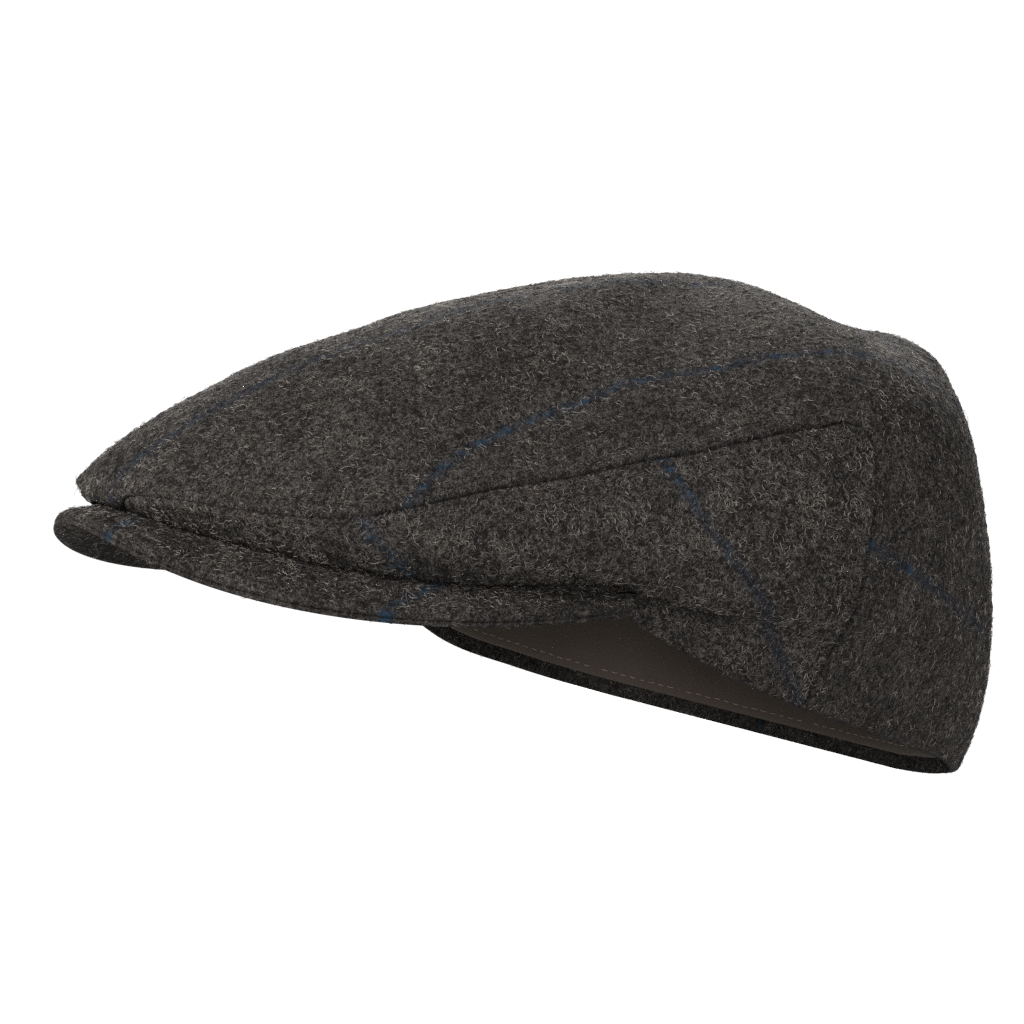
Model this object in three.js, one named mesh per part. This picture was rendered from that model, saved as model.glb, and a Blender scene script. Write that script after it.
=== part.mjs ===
// Flat cap of wool tweed, lying on its rim and peak.
// Millimetres, +Z up. The peak points along -Y and the wearer's left is +X.
// Each piece is a sheet of cloth: an outer skin worked out from the tables below, an inner skin one
// thickness behind it, and the cut edges that close the two. Directions round the cap are degrees
// from the front, growing towards the wearer's left, about the middle of the head opening.

import * as THREE from 'three';

// Cloth and clearances
const WOOL = 2;
const PEAK_COVER = 2;
const BAND_CLOTH = 1;
const PIECE_GAP = 0.4;

// Crown profile, one row per direction; the left and right halves are alike.
// R is the distance from the middle of the head opening and Z the height of each level up the wall.
const CROWN = table(
  ['deg', 'edgeR', 'tuckR', 'tuckZ', 'bulgeR', 'bulgeZ', 'shoulderR', 'shoulderZ', 'topR', 'topZ'],
  [
    [0, 161, 165, 17, 165, 23, 122.5, 65, 59, 101],
    [20, 134, 142, 17.5, 144, 22.5, 114, 58.5, 60, 101],
    [40, 105, 111, 20.5, 116.5, 27.5, 99, 55, 55, 96],
    [60, 88, 89.5, 28, 98.5, 31, 87, 65, 49, 100],
    [80, 84.5, 87.3, 25.5, 96.8, 32.5, 84, 79, 46, 108],
    [100, 85.5, 91, 24, 96, 41, 83.9, 90.1, 47, 113],
    [120, 90, 94, 24, 97, 46, 82.4, 97, 44.1, 115.4],
    [140, 96.5, 100, 22, 98, 48, 75.9, 101.6, 51.6, 118.9],
    [160, 103, 104, 22, 98.5, 48, 70.5, 107.3, 45.9, 116.5],
    [180, 105, 105.5, 22, 99.5, 48, 69.3, 108.8, 43.9, 115.9],
  ],
);
const APEX = { height: 121.5, tilt: 0.08 };

// How far up the profile each level lies: 0 is the lower edge and 1 the top of the crown.
const LEVEL = { edge: 0, tuck: 0.12, bulge: 0.28, shoulder: 0.55, top: 0.8, apex: 1 };

// Height of the soft rim behind the peak: it is arched up on the left and lies flat on the right.
const RIM = table(
  ['deg', 'leftZ', 'rightZ'],
  [
    [60, 19.8, 17],
    [80, 12.2, 4],
    [100, 8.6, 1],
    [120, 6.9, 0],
    [140, 5.5, 0],
    [160, 2.5, 0],
    [180, 0, 0],
  ],
);
const TUCK_FOLLOWS_RIM = 0.4;

// Hollow pressed into the top of the crown, as a soft oval dip.
const DIP = { x: 13.8, y: 30.3, halfX: 25.6, halfY: 12.8, depth: 5.7 };
const DIP_FLOOR = 60;

// Peak: an elliptical edge that droops to both sides. The underside rises from the lip towards the
// forehead and falls away along both flanks, softly rounded over the middle.
const PEAK = { halfWidth: 81, back: -46, front: -168, lip: 7, rise: 0.383, flank: 0.6, roundness: 30 };
const PEAK_END = 57;
// Behind its end the peak runs out in a tail on each side, close along the outside of the rim.
const PEAK_TAIL = [58.5, 60];
const TAIL_CLEARANCE = 1.2;
const PEAK_EDGE_ROLL = 3;
const PEAK_EDGE_LIP = 0.7;
const RIM_TAKES_OVER = 66;
const HEAD = { halfWidth: 84.5, front: 102 };

// Side seam: level of the seam over the side panel, from its tip by the peak to its rear corner.
const SEAM = table(
  ['deg', 'level'],
  [
    [4, 0],
    [5.5, 0.1],
    [8, 0.19],
    [11, 0.243],
    [16, 0.272],
    [22, 0.292],
    [27, 0.318],
    [33, 0.39],
    [39, 0.458],
    [50, 0.516],
    [64, 0.535],
    [84, 0.54],
    [91, 0.536],
    [94, 0.515],
    [95.5, 0.47],
  ],
);
const SEAM_TIP = SEAM[0].deg;
const SIDE_TIP = SEAM_TIP + 1.5;
const SEAM_SHOULDER = SEAM[SEAM.length - 2].deg;
const REAR_SEAM = SEAM[SEAM.length - 1].deg;
const REAR_CORNER = SEAM[SEAM.length - 1].level;

// Sweatband inside the rim
const BAND = { hem: 4.5, height: 29, lean: 2 };

// Fineness of the skins
const SIDE_STEP = 4;
const BACK_STEPS = 14;
const FAN_ROWS = [0, 0.06, 0.14, 0.24, 0.36, 0.5, 0.65, 0.8, 0.92];
const WALL_ROWS = [0, 0.1, 0.25, 0.42, 0.6, 0.8];
const SIDE_ROWS = [0, 0.1, 0.22, 0.36, 0.52, 0.68, 0.84, 1];
const PEAK_ROWS = [0, 0.3, 0.65, 1];
const NUDGE_DEG = 0.5;
const NUDGE_LEVEL = 0.004;

const WOOL_LOOK = { color: 0x4b4640, roughness: 0.95, metalness: 0 };
const BAND_LOOK = { color: 0x7d6e62, roughness: 0.8, metalness: 0 };

function table(columns, rows) {
  return rows.map((row) => Object.fromEntries(columns.map((name, i) => [name, row[i]])));
}

function mix(a, b, t) {
  return a + (b - a) * t;
}

function smoothStep(from, to, value) {
  const t = THREE.MathUtils.clamp((value - from) / (to - from), 0, 1);
  return t * t * (3 - 2 * t);
}

// Signed direction from -180 to 180 degrees: positive is the wearer's left.
function signedDegrees(deg) {
  return ((deg + 540) % 360) - 180;
}

function polar(deg, radius, height) {
  const angle = THREE.MathUtils.degToRad(deg);
  return new THREE.Vector3(radius * Math.sin(angle), -radius * Math.cos(angle), height);
}

// Slope at each knot, from the parabola through it and its two neighbours.
function knotSlopes(knots, values) {
  const last = knots.length - 1;
  const chord = (i) => (values[i + 1] - values[i]) / (knots[i + 1] - knots[i]);
  const slopes = new Array(knots.length);
  for (let i = 1; i < last; i += 1) {
    const before = knots[i] - knots[i - 1];
    const after = knots[i + 1] - knots[i];
    slopes[i] = (chord(i - 1) * after + chord(i) * before) / (before + after);
  }
  slopes[0] = 2 * chord(0) - slopes[1];
  slopes[last] = 2 * chord(last - 1) - slopes[last - 1];
  return slopes;
}

// Smooth curve through the knots, read at one place. The slope at its end may be given.
function smoothCurve(knots, values, at, endSlope) {
  const slopes = knotSlopes(knots, values);
  if (endSlope !== undefined) {
    slopes[slopes.length - 1] = endSlope;
  }
  let i = 0;
  while (i < knots.length - 2 && at >= knots[i + 1]) {
    i += 1;
  }
  const width = knots[i + 1] - knots[i];
  const t = (at - knots[i]) / width;
  const fromStart = (1 + 2 * t) * (1 - t) ** 2 * values[i] + t * (1 - t) ** 2 * width * slopes[i];
  const fromEnd = t * t * (3 - 2 * t) * values[i + 1] + t * t * (t - 1) * width * slopes[i + 1];
  return fromStart + fromEnd;
}

// A crown column read in any direction: the rows run on past the front and the back by symmetry.
function crownColumn(name, deg) {
  const aside = Math.abs(signedDegrees(deg));
  const inner = CROWN.slice(1, 3);
  const outer = CROWN.slice(-3, -1);
  const before = inner.map((row) => ({ ...row, deg: -row.deg })).reverse();
  const after = outer.map((row) => ({ ...row, deg: 360 - row.deg })).reverse();
  const rows = [...before, ...CROWN, ...after];
  return smoothCurve(rows.map((row) => row.deg), rows.map((row) => row[name]), aside);
}

// Rim height of one side, never below the floor.
function rimHeight(deg) {
  const side = signedDegrees(deg);
  const column = side >= 0 ? 'leftZ' : 'rightZ';
  const height = smoothCurve(RIM.map((row) => row.deg), RIM.map((row) => row[column]), Math.abs(side));
  return Math.max(0, height);
}

function rimDropOnRight(deg) {
  const side = signedDegrees(deg);
  const aside = Math.max(Math.abs(side), RIM[0].deg);
  const drop = side < 0 ? rimHeight(360 - aside) - rimHeight(aside) : 0;
  return drop * smoothStep(PEAK_END, RIM[1].deg, Math.abs(side));
}

// Underside of the peak, flattened where it meets the floor.
function peakUnderside(x, y) {
  const fall = PEAK.flank * (Math.hypot(x, PEAK.roundness) - PEAK.roundness);
  return Math.max(0, PEAK.lip + PEAK.rise * (y - PEAK.front) - fall);
}

function peakTop(x, y) {
  return peakUnderside(x, y) + 2 * PEAK_COVER + PIECE_GAP;
}

// Distance from the middle of the head opening to the peak's elliptical edge.
function peakEdgeRadius(deg) {
  const angle = THREE.MathUtils.degToRad(deg);
  const depth = PEAK.back - PEAK.front;
  const square = (Math.sin(angle) / PEAK.halfWidth) ** 2 + (Math.cos(angle) / depth) ** 2;
  const half = (PEAK.back * Math.cos(angle)) / depth ** 2;
  const rest = (PEAK.back / depth) ** 2 - 1;
  return (-half + Math.sqrt(half * half - square * rest)) / square;
}

// Outline of the head opening: an ellipse over the peak, and the crown's own edge behind it.
function headRadius(deg) {
  const aside = Math.abs(signedDegrees(deg));
  const angle = THREE.MathUtils.degToRad(aside);
  const ellipse = 1 / Math.hypot(Math.sin(angle) / HEAD.halfWidth, Math.cos(angle) / HEAD.front);
  return mix(ellipse, crownColumn('edgeR', deg), smoothStep(PEAK_END, RIM_TAKES_OVER, aside));
}

// Height of a lower edge that lies on the peak in front and is the rim behind it.
function lowerEdgeHeight(deg, onPeak) {
  const aside = Math.abs(signedDegrees(deg));
  const share = smoothStep(PEAK_END + NUDGE_DEG, RIM[0].deg + NUDGE_DEG, aside);
  return share > 0 ? mix(onPeak, rimHeight(deg), share) : onPeak;
}

function crownEdgeHeight(deg, radius) {
  const place = polar(deg, radius, 0);
  return lowerEdgeHeight(deg, peakTop(place.x, place.y) + PIECE_GAP);
}

// A point of the crown's outer skin, in one direction and at one level of the profile. All profiles
// run through the apex with one common tilt, so that the top is smooth there.
function crownPoint(deg, level) {
  const edgeR = crownColumn('edgeR', deg);
  const radii = [edgeR];
  const heights = [crownEdgeHeight(deg, edgeR)];
  for (const name of ['tuck', 'bulge', 'shoulder', 'top']) {
    radii.push(crownColumn(`${name}R`, deg));
    heights.push(crownColumn(`${name}Z`, deg));
  }
  heights[1] += TUCK_FOLLOWS_RIM * rimDropOnRight(deg);
  radii.push(0);
  heights.push(APEX.height);
  const topSpan = crownColumn('topR', deg) + crownColumn('topR', deg + 180);
  const radiusSlope = -topSpan / (2 * (LEVEL.apex - LEVEL.top));
  const heightSlope = -APEX.tilt * Math.cos(THREE.MathUtils.degToRad(deg)) * radiusSlope;
  const levels = Object.values(LEVEL);
  const radius = smoothCurve(levels, radii, level, radiusSlope);
  const point = polar(deg, radius, smoothCurve(levels, heights, level, heightSlope));
  if (point.z > DIP_FLOOR) {
    point.z -= dipDepth(point.x, point.y);
  }
  return point;
}

function dipDepth(x, y) {
  return DIP.depth * Math.exp(-(((x - DIP.x) / DIP.halfX) ** 2) - ((y - DIP.y) / DIP.halfY) ** 2);
}

// Outward direction of the crown's skin, from its slopes along both ways.
function crownNormal(deg, level) {
  if (level > 1 - NUDGE_LEVEL) {
    return new THREE.Vector3(0, 0, 1);
  }
  const low = Math.max(0, level - NUDGE_LEVEL);
  const round = crownPoint(deg + NUDGE_DEG, level).sub(crownPoint(deg - NUDGE_DEG, level));
  const up = crownPoint(deg, level + NUDGE_LEVEL).sub(crownPoint(deg, low));
  return round.cross(up).normalize();
}

// Inner skin: one wool thickness behind the outer one, and level with it along the lower edge.
function crownInside(deg, level, outside) {
  if (level > 0) {
    return outside.clone().addScaledVector(crownNormal(deg, level), -WOOL);
  }
  const radius = Math.hypot(outside.x, outside.y) - WOOL;
  const onRim = Math.abs(signedDegrees(deg)) > RIM_TAKES_OVER;
  return polar(deg, radius, onRim ? outside.z : crownEdgeHeight(deg, radius));
}

// Two triangles for a four-cornered face, split along its shorter diagonal.
function splitQuad(points, a, b, c, d) {
  const first = points[a].distanceTo(points[c]);
  const second = points[b].distanceTo(points[d]);
  return first <= second ? [[a, b, c], [a, c, d]] : [[a, b, d], [b, c, d]];
}

// Collects matching outer and inner points, and faces of the outer skin, into one closed solid.
class ClothSheet {
  constructor() {
    this.outer = [];
    this.inner = [];
    this.faces = [];
  }

  addPoint(outside, inside) {
    this.outer.push(outside);
    this.inner.push(inside);
    return this.outer.length - 1;
  }

  addQuad(a, b, c, d) {
    this.faces.push(...splitQuad(this.outer, a, b, c, d));
  }

  // Faces between neighbouring columns of points, each listed from its lower end upwards.
  addColumns(columns, closed) {
    const count = closed ? columns.length : columns.length - 1;
    for (let i = 0; i < count; i += 1) {
      const here = columns[i];
      const next = columns[(i + 1) % columns.length];
      for (let j = 0; j + 1 < here.length; j += 1) {
        this.addQuad(here[j], next[j], next[j + 1], here[j + 1]);
      }
    }
  }

  geometry() {
    const points = [...this.outer, ...this.inner];
    const shift = this.outer.length;
    const key = (a, b) => `${a}_${b}`;
    const used = new Set(this.faces.flatMap(([a, b, c]) => [key(a, b), key(b, c), key(c, a)]));
    const index = [];
    for (const [a, b, c] of this.faces) {
      index.push(a, b, c, a + shift, c + shift, b + shift);
      for (const [from, to] of [[a, b], [b, c], [c, a]]) {
        if (!used.has(key(to, from))) {
          index.push(...splitQuad(points, to, from, from + shift, to + shift).flat());
        }
      }
    }
    const geometry = new THREE.BufferGeometry().setFromPoints(points);
    geometry.setIndex(index);
    geometry.computeVertexNormals();
    return geometry;
  }
}

// Every direction round the cap, from the front, with the seam's own directions among them.
function ringDirections() {
  const left = [SIDE_TIP, PEAK_END, SEAM_SHOULDER, REAR_SEAM];
  for (let deg = 0; deg < SEAM_SHOULDER; deg += SIDE_STEP) {
    left.push(deg);
  }
  for (let i = 1; i <= BACK_STEPS; i += 1) {
    left.push(mix(REAR_SEAM, 180, i / BACK_STEPS));
  }
  left.sort((a, b) => a - b);
  const right = left.slice(1, -1).map((deg) => 360 - deg).reverse();
  return [...left, ...right];
}

const DIRECTIONS = ringDirections();

function seamLevel(deg) {
  const aside = Math.abs(signedDegrees(deg));
  if (aside <= SEAM_TIP) {
    return 0;
  }
  if (aside >= REAR_SEAM) {
    return REAR_CORNER;
  }
  return smoothCurve(SEAM.map((row) => row.deg), SEAM.map((row) => row.level), aside);
}

// Crown point moved by half a gap from a seam towards a neighbouring place on the same panel.
function pulledPoint(place, towards) {
  const outside = crownPoint(place.deg, place.level);
  if (towards) {
    const aim = crownPoint(towards.deg, towards.level).sub(outside).normalize();
    outside.addScaledVector(aim, PIECE_GAP / 2);
  }
  return outside;
}

function addCrownPoint(sheet, place, towards) {
  const outside = pulledPoint(place, towards);
  return sheet.addPoint(outside, crownInside(place.deg, place.level, outside));
}

// Centre panel: a fan from the side seams to the apex, and the wall behind the rear seams.
function topPanel() {
  const sheet = new ClothSheet();
  const fan = DIRECTIONS.map((deg) => fanColumn(sheet, deg));
  const apexOutside = crownPoint(0, LEVEL.apex);
  const apex = sheet.addPoint(apexOutside, crownInside(0, LEVEL.apex, apexOutside));
  fan.forEach((column, i) => {
    const next = fan[(i + 1) % fan.length];
    sheet.faces.push([column[column.length - 1], next[next.length - 1], apex]);
  });
  sheet.addColumns(fan, true);
  const atBack = (deg) => Math.abs(signedDegrees(deg)) >= REAR_SEAM;
  const backColumns = [];
  DIRECTIONS.forEach((deg, i) => {
    if (atBack(deg)) {
      backColumns.push([...wallColumn(sheet, deg), fan[i][0]]);
    }
  });
  sheet.addColumns(backColumns, false);
  return sheet.geometry();
}

function fanColumn(sheet, deg) {
  const aside = Math.abs(signedDegrees(deg));
  const low = seamLevel(deg);
  const levels = FAN_ROWS.map((share) => mix(low, 1, share));
  return levels.map((level, row) => {
    const onSeam = row === 0 && aside >= SEAM_TIP && aside <= REAR_SEAM;
    const behind = aside === REAR_SEAM ? deg + Math.sign(signedDegrees(deg)) * NUDGE_DEG : deg;
    const towards = onSeam ? { deg: behind, level: mix(level, levels[1], NUDGE_LEVEL) } : null;
    return addCrownPoint(sheet, { deg, level }, towards);
  });
}

function wallColumn(sheet, deg) {
  const side = signedDegrees(deg);
  const onSeam = Math.abs(side) === REAR_SEAM;
  return WALL_ROWS.map((share) => {
    const level = share * REAR_CORNER;
    const towards = onSeam ? { deg: deg + Math.sign(side) * NUDGE_DEG, level } : null;
    return addCrownPoint(sheet, { deg, level }, towards);
  });
}

// Side panel: upright columns from the lower edge to the seam.
function sidePanel(side) {
  const sheet = new ClothSheet();
  const onPanel = (deg) => {
    const aside = signedDegrees(deg) * side;
    return aside >= SIDE_TIP && aside <= REAR_SEAM;
  };
  const columns = DIRECTIONS.filter(onPanel).map((deg) => sideColumn(sheet, deg, side));
  sheet.addColumns(columns, false);
  return sheet.geometry();
}

function sideColumn(sheet, deg, side) {
  const atRear = Math.abs(signedDegrees(deg)) === REAR_SEAM;
  const forward = atRear ? deg - side * NUDGE_DEG : deg;
  const seam = seamLevel(deg);
  return SIDE_ROWS.map((share) => {
    const level = share * seam;
    const below = share === 1 ? level - NUDGE_LEVEL : level;
    const onSeam = share === 1 || atRear;
    return addCrownPoint(sheet, { deg, level }, onSeam ? { deg: forward, level: below } : null);
  });
}

// Distances of one cover's points, from the rolled edge in to the head opening.
function coverRadii(deg) {
  const edge = peakEdgeRadius(deg);
  const roll = edge - PEAK_EDGE_ROLL;
  const seat = headRadius(deg) - WOOL;
  return [edge, edge - PEAK_EDGE_ROLL / 3, ...PEAK_ROWS.map((share) => mix(roll, seat, share))];
}

function tailRadii(deg) {
  const edge = peakEdgeRadius(deg);
  const beside = crownColumn('edgeR', deg) + TAIL_CLEARANCE;
  return [edge, edge - PEAK_EDGE_ROLL / 3, edge - PEAK_EDGE_ROLL, beside];
}

// One cover of the peak, with its two tails. Both covers are rolled down or up over the last few
// millimetres, so that together they make a rounded edge.
function peakCover(lowFace, highFace) {
  const sheet = new ClothSheet();
  const addColumn = (deg, radii) => radii.map((radius) => {
    const rolled = THREE.MathUtils.clamp((radii[0] - radius) / PEAK_EDGE_ROLL, 0, 1);
    const fullness = Math.sqrt(1 - (1 - rolled) ** 2);
    const place = polar(deg, radius, 0);
    const base = peakUnderside(place.x, place.y);
    const high = polar(deg, radius, base + highFace(fullness));
    return sheet.addPoint(high, polar(deg, radius, base + lowFace(fullness)));
  });
  const onPeak = (deg) => Math.abs(deg) <= PEAK_END;
  const directions = DIRECTIONS.map(signedDegrees).filter(onPeak).sort((a, b) => a - b);
  const columns = directions.map((deg) => addColumn(deg, coverRadii(deg)));
  sheet.addColumns(columns, false);
  for (const side of [-1, 1]) {
    const end = side < 0 ? columns[0] : columns[columns.length - 1];
    const tail = PEAK_TAIL.map((deg) => addColumn(side * deg, tailRadii(deg)));
    const strip = [end.slice(0, tail[0].length), ...tail];
    sheet.addColumns(side < 0 ? strip.reverse() : strip, false);
  }
  return sheet.geometry();
}

function peakUpper() {
  const bottom = PEAK_COVER + PIECE_GAP;
  return peakCover(() => bottom, (fullness) => bottom + mix(PEAK_EDGE_LIP, PEAK_COVER, fullness));
}

function peakUnder() {
  return peakCover(() => 0, (fullness) => mix(PEAK_EDGE_LIP, PEAK_COVER, fullness));
}

// Sweatband: a ring that stands inside the rim, a hem's width above its edge, leaning inwards.
function sweatband() {
  const sheet = new ClothSheet();
  const columns = DIRECTIONS.map((deg) => {
    const radius = headRadius(deg) - WOOL - PIECE_GAP;
    const front = polar(deg, radius, 0);
    const low = lowerEdgeHeight(deg, peakUnderside(front.x, front.y)) + BAND.hem;
    const outside = [polar(deg, radius, low), polar(deg, radius - BAND.lean, low + BAND.height)];
    const inward = polar(deg, -BAND_CLOTH, 0);
    return outside.map((point) => sheet.addPoint(point, point.clone().add(inward)));
  });
  sheet.addColumns(columns, true);
  return sheet.geometry();
}

function namedPiece(name, geometry, look) {
  const mesh = new THREE.Mesh(geometry, new THREE.MeshStandardMaterial(look));
  mesh.name = name;
  return mesh;
}

const cap = new THREE.Group();
cap.add(
  namedPiece('top_panel', topPanel(), WOOL_LOOK),
  namedPiece('side_panel_left', sidePanel(1), WOOL_LOOK),
  namedPiece('side_panel_right', sidePanel(-1), WOOL_LOOK),
  namedPiece('peak_upper', peakUpper(), WOOL_LOOK),
  namedPiece('peak_under', peakUnder(), WOOL_LOOK),
  namedPiece('sweatband', sweatband(), BAND_LOOK),
);

// The origin is on the floor, under the middle of the cap's length and width.
const extent = new THREE.Box3().setFromObject(cap);
cap.position.y = -(extent.min.y + extent.max.y) / 2;

export default cap;
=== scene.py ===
# Flat cap of wool tweed, lying on its rim and peak on a pale floor.
# The cap is worked out in millimetres about the middle of its head opening: +Z up, the peak points
# along -Y and the wearer's left is +X. Directions round the cap are degrees from the front, growing
# towards the wearer's left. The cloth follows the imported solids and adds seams, stitches and nap.
import math

import bpy
import numpy as np
from mathutils import Matrix, Vector, kdtree


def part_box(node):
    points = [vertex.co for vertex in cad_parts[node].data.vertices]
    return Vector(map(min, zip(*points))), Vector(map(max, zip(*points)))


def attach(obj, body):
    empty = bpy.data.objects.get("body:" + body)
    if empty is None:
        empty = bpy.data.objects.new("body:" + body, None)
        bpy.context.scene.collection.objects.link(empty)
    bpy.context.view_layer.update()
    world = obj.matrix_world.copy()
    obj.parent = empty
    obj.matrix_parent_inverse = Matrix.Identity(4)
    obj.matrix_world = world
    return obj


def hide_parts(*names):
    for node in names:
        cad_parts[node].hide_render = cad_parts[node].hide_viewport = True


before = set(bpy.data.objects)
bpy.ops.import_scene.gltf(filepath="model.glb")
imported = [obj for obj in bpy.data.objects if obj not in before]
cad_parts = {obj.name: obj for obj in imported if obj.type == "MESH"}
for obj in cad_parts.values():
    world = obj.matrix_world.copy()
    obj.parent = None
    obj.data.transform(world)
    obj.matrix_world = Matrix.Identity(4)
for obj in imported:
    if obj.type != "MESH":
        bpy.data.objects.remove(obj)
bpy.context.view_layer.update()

MM = 0.001
SEED = 20260

# Cloth and clearances, as in the solids
WOOL = 2.0
PEAK_COVER = 2.0
BAND_CLOTH = 1.0
PIECE_GAP = 0.4

# Crown profile, one row per direction; R is the distance from the middle of the head opening and Z
# the height of each level up the wall.
CROWN_COLUMNS = (
    "deg", "edge_r", "tuck_r", "tuck_z", "bulge_r", "bulge_z",
    "shoulder_r", "shoulder_z", "top_r", "top_z",
)
CROWN_ROWS = (
    (0, 161, 165, 17, 165, 23, 122.5, 65, 59, 101),
    (20, 134, 142, 17.5, 144, 22.5, 114, 58.5, 60, 101),
    (40, 105, 111, 20.5, 116.5, 27.5, 99, 55, 55, 96),
    (60, 88, 89.5, 28, 98.5, 31, 87, 65, 49, 100),
    (80, 84.5, 87.3, 25.5, 96.8, 32.5, 84, 79, 46, 108),
    (100, 85.5, 91, 24, 96, 41, 83.9, 90.1, 47, 113),
    (120, 90, 94, 24, 97, 46, 82.4, 97, 44.1, 115.4),
    (140, 96.5, 100, 22, 98, 48, 75.9, 101.6, 51.6, 118.9),
    (160, 103, 104, 22, 98.5, 48, 70.5, 107.3, 45.9, 116.5),
    (180, 105, 105.5, 22, 99.5, 48, 69.3, 108.8, 43.9, 115.9),
)
CROWN = dict(zip(CROWN_COLUMNS, np.array(CROWN_ROWS, float).T))
APEX_HEIGHT = 121.5
APEX_TILT = 0.08
LEVELS = np.array([0, 0.12, 0.28, 0.55, 0.8, 1])
TOP_LEVEL = 0.8
WIDEST_LEVEL = 0.27

# Height of the soft rim behind the peak
RIM_DEG = np.array([60, 80, 100, 120, 140, 160, 180.0])
RIM_LEFT = np.array([19.8, 12.2, 8.6, 6.9, 5.5, 2.5, 0])
RIM_RIGHT = np.array([17, 4, 1, 0, 0, 0, 0.0])
TUCK_FOLLOWS_RIM = 0.4

# Hollow pressed into the top: x, y, half width, half length, depth
DIP = (13.8, 30.3, 25.6, 12.8, 5.7)
DIP_FLOOR = 60

# Peak: its elliptical edge, the rise of its underside towards the back and its falling flanks, the
# directions where it and its tails end, and its rolled edge; then the head opening above it
PEAK_HALF_WIDTH = 81
PEAK_BACK = -46
PEAK_FRONT = -168
PEAK_LIP = 7
PEAK_RISE = 0.383
PEAK_FLANK = 0.6
PEAK_ROUNDNESS = 30
PEAK_END = 57
PEAK_TAIL_END = 60
TAIL_CLEARANCE = 1.2
PEAK_ROLL = 3
PEAK_EDGE_LIP = 0.7
RIM_TAKES_OVER = 66
HEAD_HALF_WIDTH = 84.5
HEAD_FRONT = 102

# Side seam: level of the seam over the side panel, from its tip at the front to its rear corner
SEAM_DEG = np.array([4, 5.5, 8, 11, 16, 22, 27, 33, 39, 50, 64, 84, 91, 94, 95.5])
SEAM_LEVEL = np.array(
    [0, 0.1, 0.19, 0.243, 0.272, 0.292, 0.318, 0.39, 0.458, 0.516, 0.535, 0.54, 0.536, 0.515, 0.47]
)
SEAM_TIP = 4
SIDE_TIP = 5.5
REAR_SEAM = 95.5
REAR_CORNER = 0.47

# Sweatband: height of its lower edge over the rim, its own height and how far it leans inwards
BAND_HEM = 4.5
BAND_HEIGHT = 29
BAND_LEAN = 2

# Sewing: how the cloth rolls into a seam and at the rim, how much of its relief shows inside, the ridge
# of the seam allowance and the stitch rows
SEAM_ROLL_WIDTH = 2.0
SEAM_ROLL_DEPTH = 1.2
RIM_ROLL = 1.1
INNER_RELIEF = 0.4
ALLOWANCE_AT = 2.4
ALLOWANCE_HEIGHT = 0.15
ALLOWANCE_HALF = 1.3
STITCH_ROW = 4.0
FURROW_WIDTH = 0.75
FURROW_DEPTH = 0.2
BAND_STITCH_ROW = 2.5
STITCH_LENGTH = 2.1
STITCH_PITCH = 3.0
STITCH_WIDTH = 0.26

# Seams as rows of points: first and last direction of a side seam with the count, and of its stretch
# with painted shade in the furrow, and the count for a rear seam
SIDE_SEAM_SPAN = (SEAM_TIP, REAR_SEAM, 1200)
SHADED_SEAM_SPAN = (27, 92, 900)
REAR_SEAM_POINTS = 500

# Painted shade in the furrow of the seams, where the nap is thinned too: half width, and depth
# along the side seams and the rear ones
SEAM_SHADE_HALF = 0.7
SIDE_SEAM_SHADE = 0.85
REAR_SEAM_SHADE = 0.35

# Lines of the check: offset and spacing across each panel. The top also has one line round the back,
# which falls towards the back and drops away at its front end
TOP_LINES = ((15, 55), (55.7, 4000))
TOP_LINE_REACH = (-112, 108)
BACK_LINE_FALL = 0.2
BACK_LINE_END = 5
BACK_LINE_DROP = 6
SIDE_LINES = ((12.5, 72),)
SIDE_LINE_TURN = math.radians(50)
PEAK_LINES = ((22, 67.6),)
PEAK_LINE_TURN = math.radians(23)

# How far the outer lines of the top are pulled aside where the cloth is eased into the side seams,
# by the distance in front of the apex
LINE_PULL_AT = (0, 60, 100, 118, 131, 145)
LINE_PULL = (-1, -5.8, -1.2, 3, 9, 16)
LINE_PULL_FROM = (15, 65)

# Where the blue of the lines is worn off: by the place across the top and towards the back, and low down
# on the rear of the side panels, by direction and height
TOP_WORN = 0.65
TOP_WORN_INSIDE = (30, 48)
BACK_WORN = 0.7
BACK_WORN_BEHIND = (22, 40)
SIDE_WORN = 0.75
SIDE_WORN_BEHIND = (55, 65)
SIDE_WORN_BELOW = (38, 48)

# Ribs of the weave, in mm across the cloth, and how much thicker the nap is on them
RIB_PITCH = 2.4
RIB_NAP = 0.5

# Crease over each ear, where the crown hangs over the rim as a lip: the level and half width of both
# on the profile, how far they go in and out, and the directions between which they open and fade
CREASE_LEVEL = 0.115
CREASE_HALF = 0.035
CREASE_DEPTH = 1.5
LIP_LEVEL = 0.19
LIP_HALF = 0.04
LIP_HEIGHT = 3.0
CREASE_OPENS = (56, 61)
CREASE_FADES = (68, 84)

# Fineness of the skins: mm along a column from an edge, degrees round the cap and from a rear seam,
# rows between the edges, steps in which a column is measured and places along one cut edge
EDGE_ROWS = np.array([0, 0.35, 0.8, 1.3, 1.9, 2.6, 3.3, 4, 4.7, 5.5])
NO_EDGE = np.zeros(1)
EDGES_SHARE = 0.6
ROUND_STEP = 1.6
SEAM_STEPS = np.array([0, 0.22, 0.5, 0.8, 1.2, 1.6, 2.1, 2.5, 3, 3.6])
BEFORE_SEAM = 4
BEHIND_SEAM = 4.8
FAN_ROWS = 24
FAN_TOP = 0.985
WALL_ROWS = 22
SIDE_ROWS = 36
COLUMN_STEPS = 160
APEX_STEPS = 240
CUT_EDGE_PLACES = 8
FAR_FROM_RIM = 1000.0
NUDGE_DEG = 0.5
NUDGE_LEVEL = 0.004

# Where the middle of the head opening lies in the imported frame, lengthwise
SHIFT_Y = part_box("peak_upper")[0].y / MM - PEAK_FRONT


def smooth_step(start, end, value):
    t = np.clip((value - start) / (end - start), 0, 1)
    return t * t * (3 - 2 * t)


def bell(value, middle, half):
    """A smooth bump of height one."""
    return np.exp(-(((value - middle) / half) ** 2))


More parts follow.
